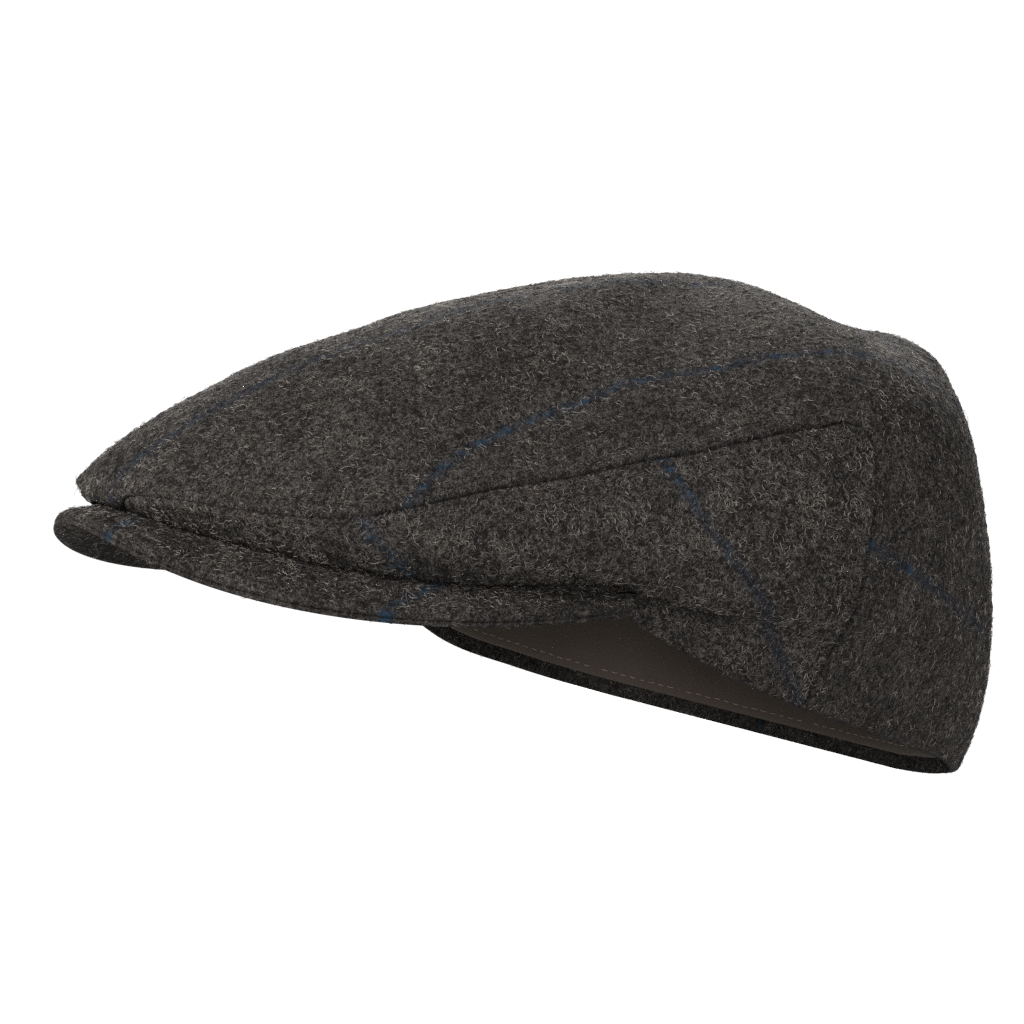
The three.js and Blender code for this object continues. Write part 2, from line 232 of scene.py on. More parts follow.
def path_length(points):
    """Distance along each row of points from its first one."""
    steps = np.linalg.norm(np.diff(points, axis=-2), axis=-1)
    return np.pad(np.cumsum(steps, axis=-1), [(0, 0)] * (steps.ndim - 1) + [(1, 0)])


def knot_slopes(knots, values):
    """Slope at each knot, from the parabola through it and its two neighbours."""
    gap = np.diff(knots)
    chord = np.diff(values, axis=-1) / gap
    inner = (chord[..., :-1] * gap[1:] + chord[..., 1:] * gap[:-1]) / (gap[:-1] + gap[1:])
    first = 2 * chord[..., :1] - inner[..., :1]
    last = 2 * chord[..., -1:] - inner[..., -1:]
    return np.concatenate([first, inner, last], axis=-1)


def smooth_curve(knots, values, at, end_slope=None):
    """Smooth curve through the knots, read at many places. The slope at its end may be given."""
    values = np.broadcast_to(values, at.shape + (len(knots),))
    slopes = knot_slopes(knots, values)
    if end_slope is not None:
        slopes[..., -1] = end_slope
    i = np.clip(np.searchsorted(knots, at, side="right") - 1, 0, len(knots) - 2)
    width = knots[i + 1] - knots[i]
    t = (at - knots[i]) / width
    here = i[..., None]
    start = np.take_along_axis(values, here, -1)[..., 0]
    end = np.take_along_axis(values, here + 1, -1)[..., 0]
    leave = np.take_along_axis(slopes, here, -1)[..., 0] * width
    arrive = np.take_along_axis(slopes, here + 1, -1)[..., 0] * width
    from_start = (1 + 2 * t) * (1 - t) ** 2 * start + t * (1 - t) ** 2 * leave
    return from_start + t * t * (3 - 2 * t) * end + t * t * (t - 1) * arrive


def signed_degrees(deg):
    return (deg + 540) % 360 - 180


def degrees_aside(deg):
    """Degrees from the front, to either side."""
    return np.abs(signed_degrees(deg))


def polar(deg, radius, height):
    angle = np.radians(deg)
    return np.stack([radius * np.sin(angle), -radius * np.cos(angle), height + 0 * radius], axis=-1)


def mirrored(values):
    """A crown column that runs on past the front and the back by symmetry."""
    return np.concatenate([values[2:0:-1], values, values[-2:-4:-1]])


MIRRORED_DEG = np.concatenate([-CROWN["deg"][2:0:-1], CROWN["deg"], 360 - CROWN["deg"][-2:-4:-1]])


def crown_column(name, deg):
    return smooth_curve(MIRRORED_DEG, mirrored(CROWN[name]), degrees_aside(deg))


def rim_height(deg):
    side = signed_degrees(deg)
    left = smooth_curve(RIM_DEG, RIM_LEFT, np.abs(side))
    right = smooth_curve(RIM_DEG, RIM_RIGHT, np.abs(side))
    return np.maximum(0, np.where(side >= 0, left, right))


def rim_drop_on_right(deg):
    side = signed_degrees(deg)
    aside = np.maximum(np.abs(side), RIM_DEG[0])
    drop = np.where(side < 0, rim_height(360 - aside) - rim_height(aside), 0)
    return drop * smooth_step(PEAK_END, RIM_DEG[1], np.abs(side))


def peak_underside(place):
    """Height of the peak's underside over places on the floor."""
    fall = PEAK_FLANK * (np.hypot(place[..., 0], PEAK_ROUNDNESS) - PEAK_ROUNDNESS)
    return np.maximum(0, PEAK_LIP + PEAK_RISE * (place[..., 1] - PEAK_FRONT) - fall)


def peak_edge_radius(deg):
    """Distance from the middle of the head opening to the peak's elliptical edge."""
    sine = np.sin(np.radians(deg))
    cosine = np.cos(np.radians(deg))
    depth = PEAK_BACK - PEAK_FRONT
    square = (sine / PEAK_HALF_WIDTH) ** 2 + (cosine / depth) ** 2
    half = PEAK_BACK * cosine / depth**2
    rest = (PEAK_BACK / depth) ** 2 - 1
    return (np.sqrt(half * half - square * rest) - half) / square


def head_radius(deg):
    """Outline of the head opening: an ellipse over the peak, the crown's own edge behind it."""
    aside = degrees_aside(deg)
    sine = np.sin(np.radians(aside))
    cosine = np.cos(np.radians(aside))
    ellipse = 1 / np.hypot(sine / HEAD_HALF_WIDTH, cosine / HEAD_FRONT)
    share = smooth_step(PEAK_END, RIM_TAKES_OVER, aside)
    return ellipse + (crown_column("edge_r", deg) - ellipse) * share


def lower_edge_height(deg, on_peak):
    aside = degrees_aside(deg)
    share = smooth_step(PEAK_END + NUDGE_DEG, RIM_DEG[0] + NUDGE_DEG, aside)
    return on_peak + (rim_height(deg) - on_peak) * share


def crown_edge_height(deg, radius):
    peak_top = peak_underside(polar(deg, radius, 0)) + 2 * PEAK_COVER + PIECE_GAP
    return lower_edge_height(deg, peak_top + PIECE_GAP)


def dip_depth(x, y):
    middle_x, middle_y, half_x, half_y, depth = DIP
    return depth * bell(x, middle_x, half_x) * bell(y, middle_y, half_y)


def crown_point(deg, level):
    """Points of the crown's outer skin, in given directions and at given levels of the profile."""
    deg, level = np.broadcast_arrays(np.asarray(deg, float), np.asarray(level, float))
    edge = crown_column("edge_r", deg)
    radii = [edge]
    heights = [crown_edge_height(deg, edge)]
    for name in ("tuck", "bulge", "shoulder", "top"):
        radii.append(crown_column(name + "_r", deg))
        heights.append(crown_column(name + "_z", deg))
    heights[1] = heights[1] + TUCK_FOLLOWS_RIM * rim_drop_on_right(deg)
    radii.append(np.zeros_like(deg))
    heights.append(np.full_like(deg, APEX_HEIGHT))
    top_span = crown_column("top_r", deg) + crown_column("top_r", deg + 180)
    radius_slope = -top_span / (2 * (1 - TOP_LEVEL))
    height_slope = -APEX_TILT * np.cos(np.radians(deg)) * radius_slope
    radius = smooth_curve(LEVELS, np.stack(radii, axis=-1), level, radius_slope)
    height = smooth_curve(LEVELS, np.stack(heights, axis=-1), level, height_slope)
    point = polar(deg, radius, height)
    point[..., 2] -= np.where(height > DIP_FLOOR, dip_depth(point[..., 0], point[..., 1]), 0)
    return point


def unit(vectors):
    return vectors / np.maximum(np.linalg.norm(vectors, axis=-1, keepdims=True), 1e-9)


def crown_normal(deg, level):
    deg, level = np.broadcast_arrays(np.asarray(deg, float), np.asarray(level, float))
    around = crown_point(deg + NUDGE_DEG, level) - crown_point(deg - NUDGE_DEG, level)
    up = crown_point(deg, level + NUDGE_LEVEL) - crown_point(deg, np.maximum(0, level - NUDGE_LEVEL))
    normal = unit(np.cross(around, up))
    normal[level > 1 - NUDGE_LEVEL] = (0, 0, 1)
    return normal


def seam_level(deg):
    aside = degrees_aside(deg)
    level = smooth_curve(SEAM_DEG, SEAM_LEVEL, aside)
    return np.where(aside <= SEAM_TIP, 0, np.where(aside >= REAR_SEAM, REAR_CORNER, level))


# Seams and creases


def side_seam_line(side, span):
    deg = np.linspace(*span)
    return crown_point(side * deg, seam_level(deg))


def rear_seam_line(side):
    level = np.linspace(0, REAR_CORNER, REAR_SEAM_POINTS)
    return crown_point(side * REAR_SEAM, level)


def nearest_distance(points, line):
    tree = kdtree.KDTree(len(line))
    for i, place in enumerate(line):
        tree.insert(place, i)
    tree.balance()
    flat = points.reshape(-1, 3)
    return np.array([tree.find(place)[2] for place in flat]).reshape(points.shape[:-1])


SEAM_LINES = np.concatenate(
    [side_seam_line(side, SIDE_SEAM_SPAN) for side in (1, -1)]
    + [rear_seam_line(side) for side in (1, -1)]
)


def rolled(distance, width, depth):
    """How far cloth drops as it rounds over into an edge."""
    t = np.clip(1 - distance / width, 0, 1)
    return depth * (1 - np.sqrt(1 - t * t))


def sewn_relief(distance):
    """Height of the cloth beside a seam: the rolled lip, the seam allowance and the stitch furrow."""
    lip = -rolled(distance, SEAM_ROLL_WIDTH, SEAM_ROLL_DEPTH)
    ridge = ALLOWANCE_HEIGHT * bell(distance, ALLOWANCE_AT, ALLOWANCE_HALF)
    furrow = -FURROW_DEPTH * bell(distance, STITCH_ROW, FURROW_WIDTH)
    return lip + ridge + furrow


def soft_waves(points, seed, count, shortest, longest, height):
    """Gentle unevenness of hand: a few plane waves of mixed direction and length."""
    draw = np.random.default_rng(seed)
    total = np.zeros(points.shape[:-1])
    for _ in range(count):
        direction = unit(draw.normal(size=3))
        length = draw.uniform(shortest, longest)
        total += np.sin(points @ direction * 2 * math.pi / length + draw.uniform(0, 2 * math.pi))
    return total * height / math.sqrt(count)


def seam_shade(points):
    """How deep places lie in a seam's furrow, where the nap is thin and the cloth gets painted shade."""
    shade = np.zeros(points.shape[:-1])
    for side in (1, -1):
        for line, depth in (
            (side_seam_line(side, SHADED_SEAM_SPAN), SIDE_SEAM_SHADE),
            (rear_seam_line(side), REAR_SEAM_SHADE),
        ):
            share = bell(nearest_distance(points, line), 0, SEAM_SHADE_HALF)
            shade = np.maximum(shade, depth * share)
    return shade


def crown_relief(points):
    broad = soft_waves(points, SEED, count=18, shortest=22, longest=60, height=0.35)
    small = soft_waves(points, SEED + 1, count=12, shortest=9, longest=18, height=0.08)
    return broad + small + sewn_relief(nearest_distance(points, SEAM_LINES))


# Skins


class Skin:
    """Matching outer and inner points of one cloth, with its faces and its pattern coordinates.

    The hem lists the points whose inside shows below the sweatband. Bare says how thin the nap is and
    how much painted shade darkens the cloth, in the seam furrows and the ear creases; worn says how much
    of the blue is gone from the lines.
    """

    def __init__(self, outer, inner, faces, cloth, check, hem=(), bare_and_painted_shade=0.0, worn=0.0):
        self.outer = outer
        self.faces = faces
        self.points = np.concatenate([outer, inner])
        self.cloth = np.concatenate([cloth, cloth + (0, 0, WOOL)])
        self.check = np.tile(check, (2, 1))
        self.hem = set(hem)
        self.shade_and_wear = np.zeros((len(self.points), 2))
        self.shade_and_wear[: len(outer), 0] = bare_and_painted_shade
        self.shade_and_wear[: len(outer), 1] = worn

    def inner_faces(self, faces):
        shift = len(self.outer)
        return [tuple(i + shift for i in reversed(face)) for face in faces]

    def cut_edges(self):
        shift = len(self.outer)
        edges = set()
        for face in self.faces:
            edges.update(zip(face, face[1:] + face[:1]))
        return [(b, a, a + shift, b + shift) for a, b in sorted(edges) if (b, a) not in edges]

    def closed_faces(self):
        return [*self.faces, *self.inner_faces(self.faces), *self.cut_edges()]

    def napped_faces(self):
        """The outside and the inside of the hem."""
        hem = [face for face in self.faces if self.hem.issuperset(face)]
        return [*self.faces, *self.inner_faces(hem)]

    def edge_places(self):
        """Places along the cut edges, close together."""
        ends = np.array([face[:2] for face in self.cut_edges()])
        first, last = self.outer[ends[:, 0]], self.outer[ends[:, 1]]
        share = (np.arange(CUT_EDGE_PLACES) / CUT_EDGE_PLACES)[:, None, None]
        return (first + (last - first) * share).reshape(-1, 3)


def grid_faces(index, closed):
    """Four-cornered faces between neighbouring columns of points."""
    columns = len(index) if closed else len(index) - 1
    faces = []
    for i in range(columns):
        here = index[i]
        after = index[(i + 1) % len(index)]
        for j in range(len(here) - 1):
            faces.append((int(here[j]), int(after[j]), int(after[j + 1]), int(here[j + 1])))
    return faces


def graded_rows(total, at_start, at_end, middle):
    """Distances along columns of given total length, closer together at both ends."""
    reach = at_start[-1] + at_end[-1]
    fit = np.minimum(1, EDGES_SHARE * total / reach)[:, None]
    start = at_start[None, :] * fit
    end = total[:, None] - at_end[None, ::-1] * fit
    share = np.linspace(0, 1, middle + 2)[1:-1]
    between = start[:, -1:] + (end[:, :1] - start[:, -1:]) * share
    return np.concatenate([start, between, end], axis=1)


def column_levels(deg, low, high, at_start, at_end, middle):
    """Levels of graded rows along each column, and the distance of each row from the column's foot."""
    level = low[:, None] + (high - low)[:, None] * np.linspace(0, 1, COLUMN_STEPS + 1)
    along = path_length(crown_point(deg[:, None], level))
    rows = graded_rows(along[:, -1], at_start, at_end, middle)
    levels = np.array([np.interp(rows[i], along[i], level[i]) for i in range(len(deg))])
    return levels, rows


def ear_crease(deg, level):
    """Share of the crease over each ear and of the lip above it, at given places of the crown."""
    aside = degrees_aside(deg)
    share = smooth_step(*CREASE_OPENS, aside) * (1 - smooth_step(*CREASE_FADES, aside))
    return share * bell(level, CREASE_LEVEL, CREASE_HALF), share * bell(level, LIP_LEVEL, LIP_HALF)


def crown_grid(deg, levels, from_rim):
    """Outer and inner points over a grid of directions and levels, with relief and rolled rim."""
    base = crown_point(deg[:, None], levels)
    normal = crown_normal(deg[:, None], levels)
    crease, lip = ear_crease(deg[:, None], levels)
    base = base + normal * (LIP_HEIGHT * lip - CREASE_DEPTH * crease)[..., None]
    relief = crown_relief(base)
    rim_roll = rolled(from_rim, 2 * RIM_ROLL, RIM_ROLL)
    outer = base + normal * (relief - rim_roll)[..., None]
    body = np.minimum(WOOL, WOOL + relief)
    inner = base + normal * (np.minimum(relief, INNER_RELIEF) / 2 - body)[..., None]
    aside = degrees_aside(deg)[:, None]
    at_foot = (from_rim <= 0) & (levels <= 0)
    outward = polar(deg[:, None], np.ones_like(levels), 0)
    foot_inner = base - outward * WOOL
    foot_inner[..., 2] = np.where(
        aside > RIM_TAKES_OVER,
        base[..., 2],
        crown_edge_height(deg[:, None], np.hypot(foot_inner[..., 0], foot_inner[..., 1])),
    )
    inner[at_foot] = foot_inner[at_foot]
    inner[..., 2] = np.maximum(inner[..., 2], 0)
    outer[..., 2] = np.maximum(outer[..., 2], 0)
    return outer, inner


def ring_directions(fine):
    """Directions round the whole cap, closer together beside the rear seams and the seam tips."""
    left = [np.arange(0, REAR_SEAM - BEFORE_SEAM, fine), REAR_SEAM - SEAM_STEPS, REAR_SEAM + SEAM_STEPS]
    left.append(np.linspace(REAR_SEAM + BEHIND_SEAM, 180, int((180 - REAR_SEAM) / fine)))
    left.append(np.array([SEAM_TIP, SIDE_TIP, PEAK_END]))
    left = np.unique(np.round(np.concatenate(left), 4))
    return np.concatenate([left, 360 - left[-2:0:-1]])


DIRECTIONS = ring_directions(ROUND_STEP)


def apex_distance(deg, levels):
    """Distance over the cloth from the apex, along each column."""
    fine = np.linspace(0, 1, APEX_STEPS + 1)
    along = path_length(crown_point(deg[:, None], fine))
    return np.array([along[i, -1] - np.interp(levels[i], fine, along[i]) for i in range(len(deg))])


def top_line_place(cloth):
    """Place across the lengthwise lines of the top panel."""
    pull = np.interp(-cloth[:, 1], LINE_PULL_AT, LINE_PULL)
    share = smooth_step(*LINE_PULL_FROM, np.abs(cloth[:, 0])) * np.sign(cloth[:, 0])
    return np.clip(cloth[:, 0] - pull * share, *TOP_LINE_REACH)


def round_back(points):
    """Place across the one line that runs round the back."""
    drop = BACK_LINE_DROP * np.maximum(0, BACK_LINE_END - points[:, 1])
    return points[:, 2] + BACK_LINE_FALL * points[:, 1] + drop


def top_panel_skin():
    """The centre panel: a fan from the side seams to the apex, and the wall behind the rear seams."""
    deg = DIRECTIONS
    aside = degrees_aside(deg)
    levels, rows = column_levels(
        deg, seam_level(deg), np.full_like(deg, FAN_TOP), EDGE_ROWS, NO_EDGE, FAN_ROWS
    )
    from_rim = np.where((aside < SEAM_TIP)[:, None], rows, FAR_FROM_RIM)
    outer, inner = crown_grid(deg, levels, from_rim)
    behind = aside >= REAR_SEAM
    wall_deg = deg[behind]
    foot = np.zeros_like(wall_deg)
    wall_levels, wall_rows = column_levels(
        wall_deg, foot, foot + REAR_CORNER, EDGE_ROWS, NO_EDGE, WALL_ROWS
    )
    wall_levels = wall_levels[:, :-1]
    wall_outer, wall_inner = crown_grid(wall_deg, wall_levels, wall_rows[:, :-1])
    fan_index = np.arange(levels.size).reshape(levels.shape)
    wall_index = levels.size + np.arange(wall_levels.size).reshape(wall_levels.shape)
    wall_columns = np.concatenate([wall_index, fan_index[behind][:, :1]], axis=1)
    apex_index = levels.size + wall_levels.size
    apex = crown_point(np.zeros(1), np.ones(1))
    apex[:, 2] += crown_relief(apex)
    last = fan_index[:, -1].tolist()
    faces = grid_faces(fan_index, True) + grid_faces(wall_columns, False)
    faces += [(here, after, apex_index) for here, after in zip(last, last[1:] + last[:1])]
    all_outer = np.concatenate([outer.reshape(-1, 3), wall_outer.reshape(-1, 3), apex])
    all_inner = np.concatenate([inner.reshape(-1, 3), wall_inner.reshape(-1, 3), apex - (0, 0, WOOL)])
    flat_fan = polar(deg[:, None], apex_distance(deg, levels), 0)
    flat_wall = polar(wall_deg[:, None], apex_distance(wall_deg, wall_levels), 0)
    cloth = np.concatenate([flat_fan.reshape(-1, 3), flat_wall.reshape(-1, 3), np.zeros((1, 3))])
    check = np.stack([top_line_place(cloth), round_back(all_outer)], axis=1)
    hem = wall_index[:, : len(EDGE_ROWS)].ravel().tolist()
    worn_inside = TOP_WORN * (1 - smooth_step(*TOP_WORN_INSIDE, np.abs(cloth[:, 0])))
    worn_behind = BACK_WORN * smooth_step(*BACK_WORN_BEHIND, all_outer[:, 1])
    worn = np.maximum(worn_inside, worn_behind)
    return Skin(all_outer, all_inner, faces, cloth, check, hem, seam_shade(all_outer), worn)


EAR = 90
RIM_ARC_SPAN = (0, 100, 401)


def rim_arc(deg):
    """Distance round the crown's widest line, from the wearer's ear towards the back."""
    fine = np.linspace(*RIM_ARC_SPAN)
    along = path_length(crown_point(fine, WIDEST_LEVEL))
    return np.interp(deg, fine, along) - np.interp(EAR, fine, along)


def side_panel_skin(side):
    """A side panel: upright columns from the lower edge to the seam."""
    deg = DIRECTIONS[(DIRECTIONS >= SIDE_TIP) & (DIRECTIONS <= REAR_SEAM)]
    foot = np.zeros_like(deg)
    levels, rows = column_levels(deg, foot, seam_level(deg), EDGE_ROWS, EDGE_ROWS, SIDE_ROWS)
    outer, inner = crown_grid(side * deg, levels, rows)
    index = np.arange(levels.size).reshape(levels.shape)
    faces = grid_faces(index if side > 0 else index[::-1], False)
    around = rim_arc(deg)[:, None] + 0 * levels
    turn = SIDE_LINE_TURN
    across = math.cos(turn) * around + math.sin(turn) * outer[..., 2]
    along = math.cos(turn) * outer[..., 2] - math.sin(turn) * around
    cloth = np.stack([across, along, 0 * across], axis=-1).reshape(-1, 3)
    check = np.stack([across.ravel(), np.zeros(across.size)], axis=1)
    hem = index[deg > PEAK_END, : len(EDGE_ROWS)].ravel().tolist()
    crease, _ = ear_crease(deg[:, None], levels)
    # The ear crease and the seam furrows thin the nap here and get painted shade
    bare_and_painted_shade = np.maximum(crease, seam_shade(outer)).ravel()
    low = 1 - smooth_step(*SIDE_WORN_BELOW, outer[..., 2])
    worn = SIDE_WORN * (smooth_step(*SIDE_WORN_BEHIND, deg)[:, None] * low).ravel()
    return Skin(outer.reshape(-1, 3), inner.reshape(-1, 3), faces, cloth, check, hem, bare_and_painted_shade, worn)


# Distances in from the peak's edge; those of the tails are the first few
PEAK_INSETS = np.array([0, 0.12, 0.4, 0.8, 1.3, 1.9, 2.5, 3, 3.4, 3.8, 4.4, 5.2, 6.2])
PEAK_INSETS_SHARE = 0.8
PEAK_ROWS_BEHIND = 25
PEAK_COLUMNS = 91
TAIL_ROWS = 12
TAIL_COLUMNS = 6
PEAK_GROOVE_AT = 3.6
PEAK_GROOVE_DEPTH = 0.35
PEAK_GROOVE_HALF = 0.7
PEAK_WAVES_FROM = (2, 9)
GAP_AT_EDGE = 0.1


def peak_insets(deg):
    far = (peak_edge_radius(deg) - head_radius(deg) + WOOL)[:, None]
    fit = np.minimum(1, PEAK_INSETS_SHARE * far / PEAK_INSETS[-1])
    start = PEAK_INSETS[None, :] * fit
    share = np.linspace(0, 1, PEAK_ROWS_BEHIND + 1)[1:]
    return np.concatenate([start, start[:, -1:] + (far - start[:, -1:]) * share], axis=1)


def tail_insets(deg):
    insets = PEAK_INSETS[:TAIL_ROWS]
    width = peak_edge_radius(deg) - crown_column("edge_r", deg) - TAIL_CLEARANCE
    return insets[None, :] * (width / insets[-1])[:, None]


def cover_points(deg, inset, upper):
    """Outer and inner points of one cover of the peak, with its rolled edge, and its flat cloth."""
    edge = peak_edge_radius(deg)[:, None]
    radius = edge - inset
    place = polar(deg[:, None], radius, 0)
    base = peak_underside(place)
    fullness = np.sqrt(1 - (1 - np.clip(inset / PEAK_ROLL, 0, 1)) ** 2)
    thick = PEAK_EDGE_LIP + (PEAK_COVER - PEAK_EDGE_LIP) * fullness
    groove = PEAK_GROOVE_DEPTH * bell(inset, PEAK_GROOVE_AT, PEAK_GROOVE_HALF)
    waves = soft_waves(place, SEED + 2, count=14, shortest=18, longest=50, height=0.22)
    waves = waves * smooth_step(*PEAK_WAVES_FROM, inset)
    if upper:
        back = base + PEAK_COVER + PIECE_GAP * (GAP_AT_EDGE + (1 - GAP_AT_EDGE) * fullness)
        skin = base + PEAK_COVER + PIECE_GAP + thick - groove + waves
    else:
        skin = np.maximum(base + PEAK_COVER - thick + groove + waves, 0)
        back = np.maximum(base + PEAK_COVER, skin + PEAK_EDGE_LIP)
    path = path_length(np.stack([radius, skin], axis=-1))
    outer = polar(deg[:, None], radius, skin)
    inner = polar(deg[:, None], radius, back)
    return outer, inner, polar(deg[:, None], edge - path, 0)


def peak_skin(upper):
    """One cover of the peak, from its outer edge in to the head opening, with a tail on each side."""
    deg = np.linspace(-PEAK_END, PEAK_END, PEAK_COLUMNS)
    tail_deg = np.linspace(PEAK_END, PEAK_TAIL_END, TAIL_COLUMNS)[1:]
    grids = [
        cover_points(deg, peak_insets(deg), upper),
        cover_points(-tail_deg, tail_insets(-tail_deg), upper),
        cover_points(tail_deg, tail_insets(tail_deg), upper),
    ]
    outer, inner, cloth = (np.concatenate([grid[k].reshape(-1, 3) for grid in grids]) for k in range(3))
    main = np.arange(grids[0][0][..., 0].size).reshape(grids[0][0].shape[:2])
    tail = np.arange(len(tail_deg) * TAIL_ROWS).reshape(-1, TAIL_ROWS) + main.size
    right_tail = np.concatenate([tail[::-1], main[:1, :TAIL_ROWS]])
    left_tail = np.concatenate([main[-1:, :TAIL_ROWS], tail + tail.size])
    faces = []
    for index in (main, right_tail, left_tail):
        faces += grid_faces(index if upper else index[::-1], False)
    across = outer[:, 0] * math.cos(PEAK_LINE_TURN) + outer[:, 1] * math.sin(PEAK_LINE_TURN)
    check = np.stack([across, np.zeros_like(across)], axis=1)
    return Skin(outer, inner, faces, cloth, check)


# Sweatband: shares of its height at which its rows lie, depth and number of its ripples, from which share
# on they show, and how far and over which share its edges are rolled
BAND_SHARES = np.array([0, 0.01, 0.03, 0.06, 0.1, 0.2, 0.35, 0.5, 0.65, 0.8, 0.92, 0.97, 1])
BAND_RIPPLE = 0.25
BAND_RIPPLES = 23
BAND_RIPPLES_FROM = (0, 0.5)
BAND_EDGE_ROLL = 0.45
BAND_EDGE_SHARE = 0.02


def band_foot(deg):
    """Distance of the sweatband's back from the middle, and the height of its lower edge."""
    radius = head_radius(deg) - WOOL - PIECE_GAP
    return radius, lower_edge_height(deg, peak_underside(polar(deg, radius, 0))) + BAND_HEM


def sweatband_skin():
    """A ring inside the rim, a hem's width above its edge, leaning inwards."""
    deg = DIRECTIONS
    radius, low = band_foot(deg)
    share = BAND_SHARES
    height = low[:, None] + BAND_HEIGHT * share
    wave = np.sin(np.radians(deg * BAND_RIPPLES))[:, None]
    ripple = BAND_RIPPLE * wave * smooth_step(*BAND_RIPPLES_FROM, share)
    both_edges = np.exp(-share / BAND_EDGE_SHARE) + np.exp(-(1 - share) / BAND_EDGE_SHARE)
    rolled_edge = BAND_EDGE_ROLL * both_edges
    back = radius[:, None] - BAND_LEAN * share
    face_radius = back - BAND_CLOTH + rolled_edge + ripple
    index = np.arange(height.size).reshape(height.shape)
    faces = grid_faces(index[::-1], True)
    outer = polar(deg[:, None], face_radius, height).reshape(-1, 3)
    inner = polar(deg[:, None], back, height).reshape(-1, 3)
    arc = path_length(polar(deg, radius, 0))
    cloth = np.stack([arc[:, None] + 0 * height, BAND_HEIGHT * share + 0 * height, 0 * height], axis=-1)
    check = np.zeros((height.size, 2))
    return Skin(outer, inner, faces, cloth.reshape(-1, 3), check)


# Objects


def to_frame(points):
    """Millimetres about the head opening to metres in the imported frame."""
    return (points + (0, SHIFT_Y, 0)) * MM


def put_in_scene(name, data):
    made = bpy.data.objects.new(name, data)
    bpy.context.scene.collection.objects.link(made)
    return made


def add_object(name, mesh, materials):
    made = put_in_scene(name, mesh)
    for material in materials:
        mesh.materials.append(material)
    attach(made, "root")
    return made


def add_vectors(mesh, name, values):
    layer = mesh.attributes.new(name, "FLOAT_VECTOR", "POINT")
    layer.data.foreach_set("vector", np.ascontiguousarray(values, dtype=np.float32).ravel())


def add_cloth(name, node, skin, material):
    """The closed cloth that stands for one solid, with its pattern coordinates in mm."""
    mesh = bpy.data.meshes.new(name)
    mesh.from_pydata(to_frame(skin.points).tolist(), [], skin.closed_faces())
    mesh.shade_smooth()
    add_vectors(mesh, "cloth", skin.cloth)
    third = np.zeros((len(skin.points), 1))
    add_vectors(mesh, "check", np.hstack([skin.check, third]))
    # First share: thin nap with painted shade in seam furrows and ear creases; second: worn-off blue
    add_vectors(mesh, "shade_and_wear", np.hstack([skin.shade_and_wear, third]))
    mesh.validate()
    made = add_object(name, mesh, [material])
    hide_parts(node)
    return made


def add_triangles(name, points, triangles, shades, materials):
    """A joined mesh of many small closed bodies, from arrays."""
    mesh = bpy.data.meshes.new(name)
    mesh.vertices.add(len(points))
    mesh.vertices.foreach_set("co", np.ascontiguousarray(to_frame(points), dtype=np.float32).ravel())
    mesh.loops.add(triangles.size)
    mesh.loops.foreach_set("vertex_index", np.ascontiguousarray(triangles, dtype=np.int32).ravel())
    mesh.polygons.add(len(triangles))
    starts = np.arange(0, triangles.size, 3, dtype=np.int32)
    mesh.polygons.foreach_set("loop_start", starts)
    made = add_object(name, mesh, materials)
    mesh.polygons.foreach_set("material_index", np.ascontiguousarray(shades, dtype=np.int32))
    mesh.update(calc_edges=True)
    mesh.shade_smooth()
    mesh.validate()
    return made


# Nap: depth of the roots in the cloth, least height over the floor, the mixed colours and their shares,
# reach and share of the blue beside a line, and the distances from a cut edge where the nap grows full
ROOT_DEPTH = 0.06
LOWEST_STRAND = 0.05
FIBRE_SHADES = ("dark", "mid", "rust", "light", "pale", "blue")
SHADE_SHARES = (0.22, 0.2, 0.06, 0.36, 0.16)
BLUE_REACH = 1.4
BLUE_SHARE = 0.26
DAB_LEVEL = 0.35
NAP_OPENS = (0.3, 3.2)
LENGTH_AT_EDGE = 0.2
LENGTH_SPREAD = 0.35
UPRIGHT = 0.9
RING_CORNERS = (90, 210, 330)

# Waver of the ribs: turn per mm across and along the cloth, and start
RIB_WAVES = ((0.21, -0.13, 0), (0.09, 0.23, 1))
RIB_WAVER = 0.8


def rib_phase(cloth):
    """Where a place lies across the ribs of the weave, which waver a little."""
    x, y = cloth[:, 0], cloth[:, 1]
    waver = sum(np.sin(across * x + along * y + start) for across, along, start in RIB_WAVES)
    return x * 2 * math.pi / RIB_PITCH + RIB_WAVER * waver


class Roots:
    """Seeded places over a skin's napped faces, thicker along the ribs of its weave."""

    def __init__(self, skin, count, seed):
        draw = np.random.default_rng(seed)
        faces = skin.napped_faces()
        triangles = np.array([(f[0], f[i], f[i + 1]) for f in faces for i in range(1, len(f) - 1)])
        a, b, c = (skin.points[triangles[:, k]] for k in range(3))
        cross = np.cross(b - a, c - a)
        area = np.linalg.norm(cross, axis=1)
        normals = np.zeros_like(skin.points)
        for k in range(3):
            np.add.at(normals, triangles[:, k], cross)
        normals = unit(normals)
        tries = 2 * count
        corners = triangles[draw.choice(len(triangles), size=tries, p=area / area.sum())]
        weights = draw.dirichlet((1, 1, 1), size=tries)[..., None]
        cloth = (skin.cloth[corners] * weights).sum(axis=1)
        shade_and_wear = (skin.shade_and_wear[corners] * weights).sum(axis=1)
        thick = (1 + RIB_NAP * np.sin(rib_phase(cloth))) * (1 - shade_and_wear[:, 0])
        kept = draw.choice(tries, size=count, replace=False, p=thick / thick.sum())
        corners, weights = corners[kept], weights[kept]
        self.place = (skin.points[corners] * weights).sum(axis=1)
        self.normal = unit((normals[corners] * weights).sum(axis=1))
        self.check = (skin.check[corners] * weights).sum(axis=1)
        self.cloth = cloth[kept]
        self.worn = shade_and_wear[kept, 1]
        self.from_edge = nearest_distance(self.place, skin.edge_places())
        self.draw = draw
        self.count = count


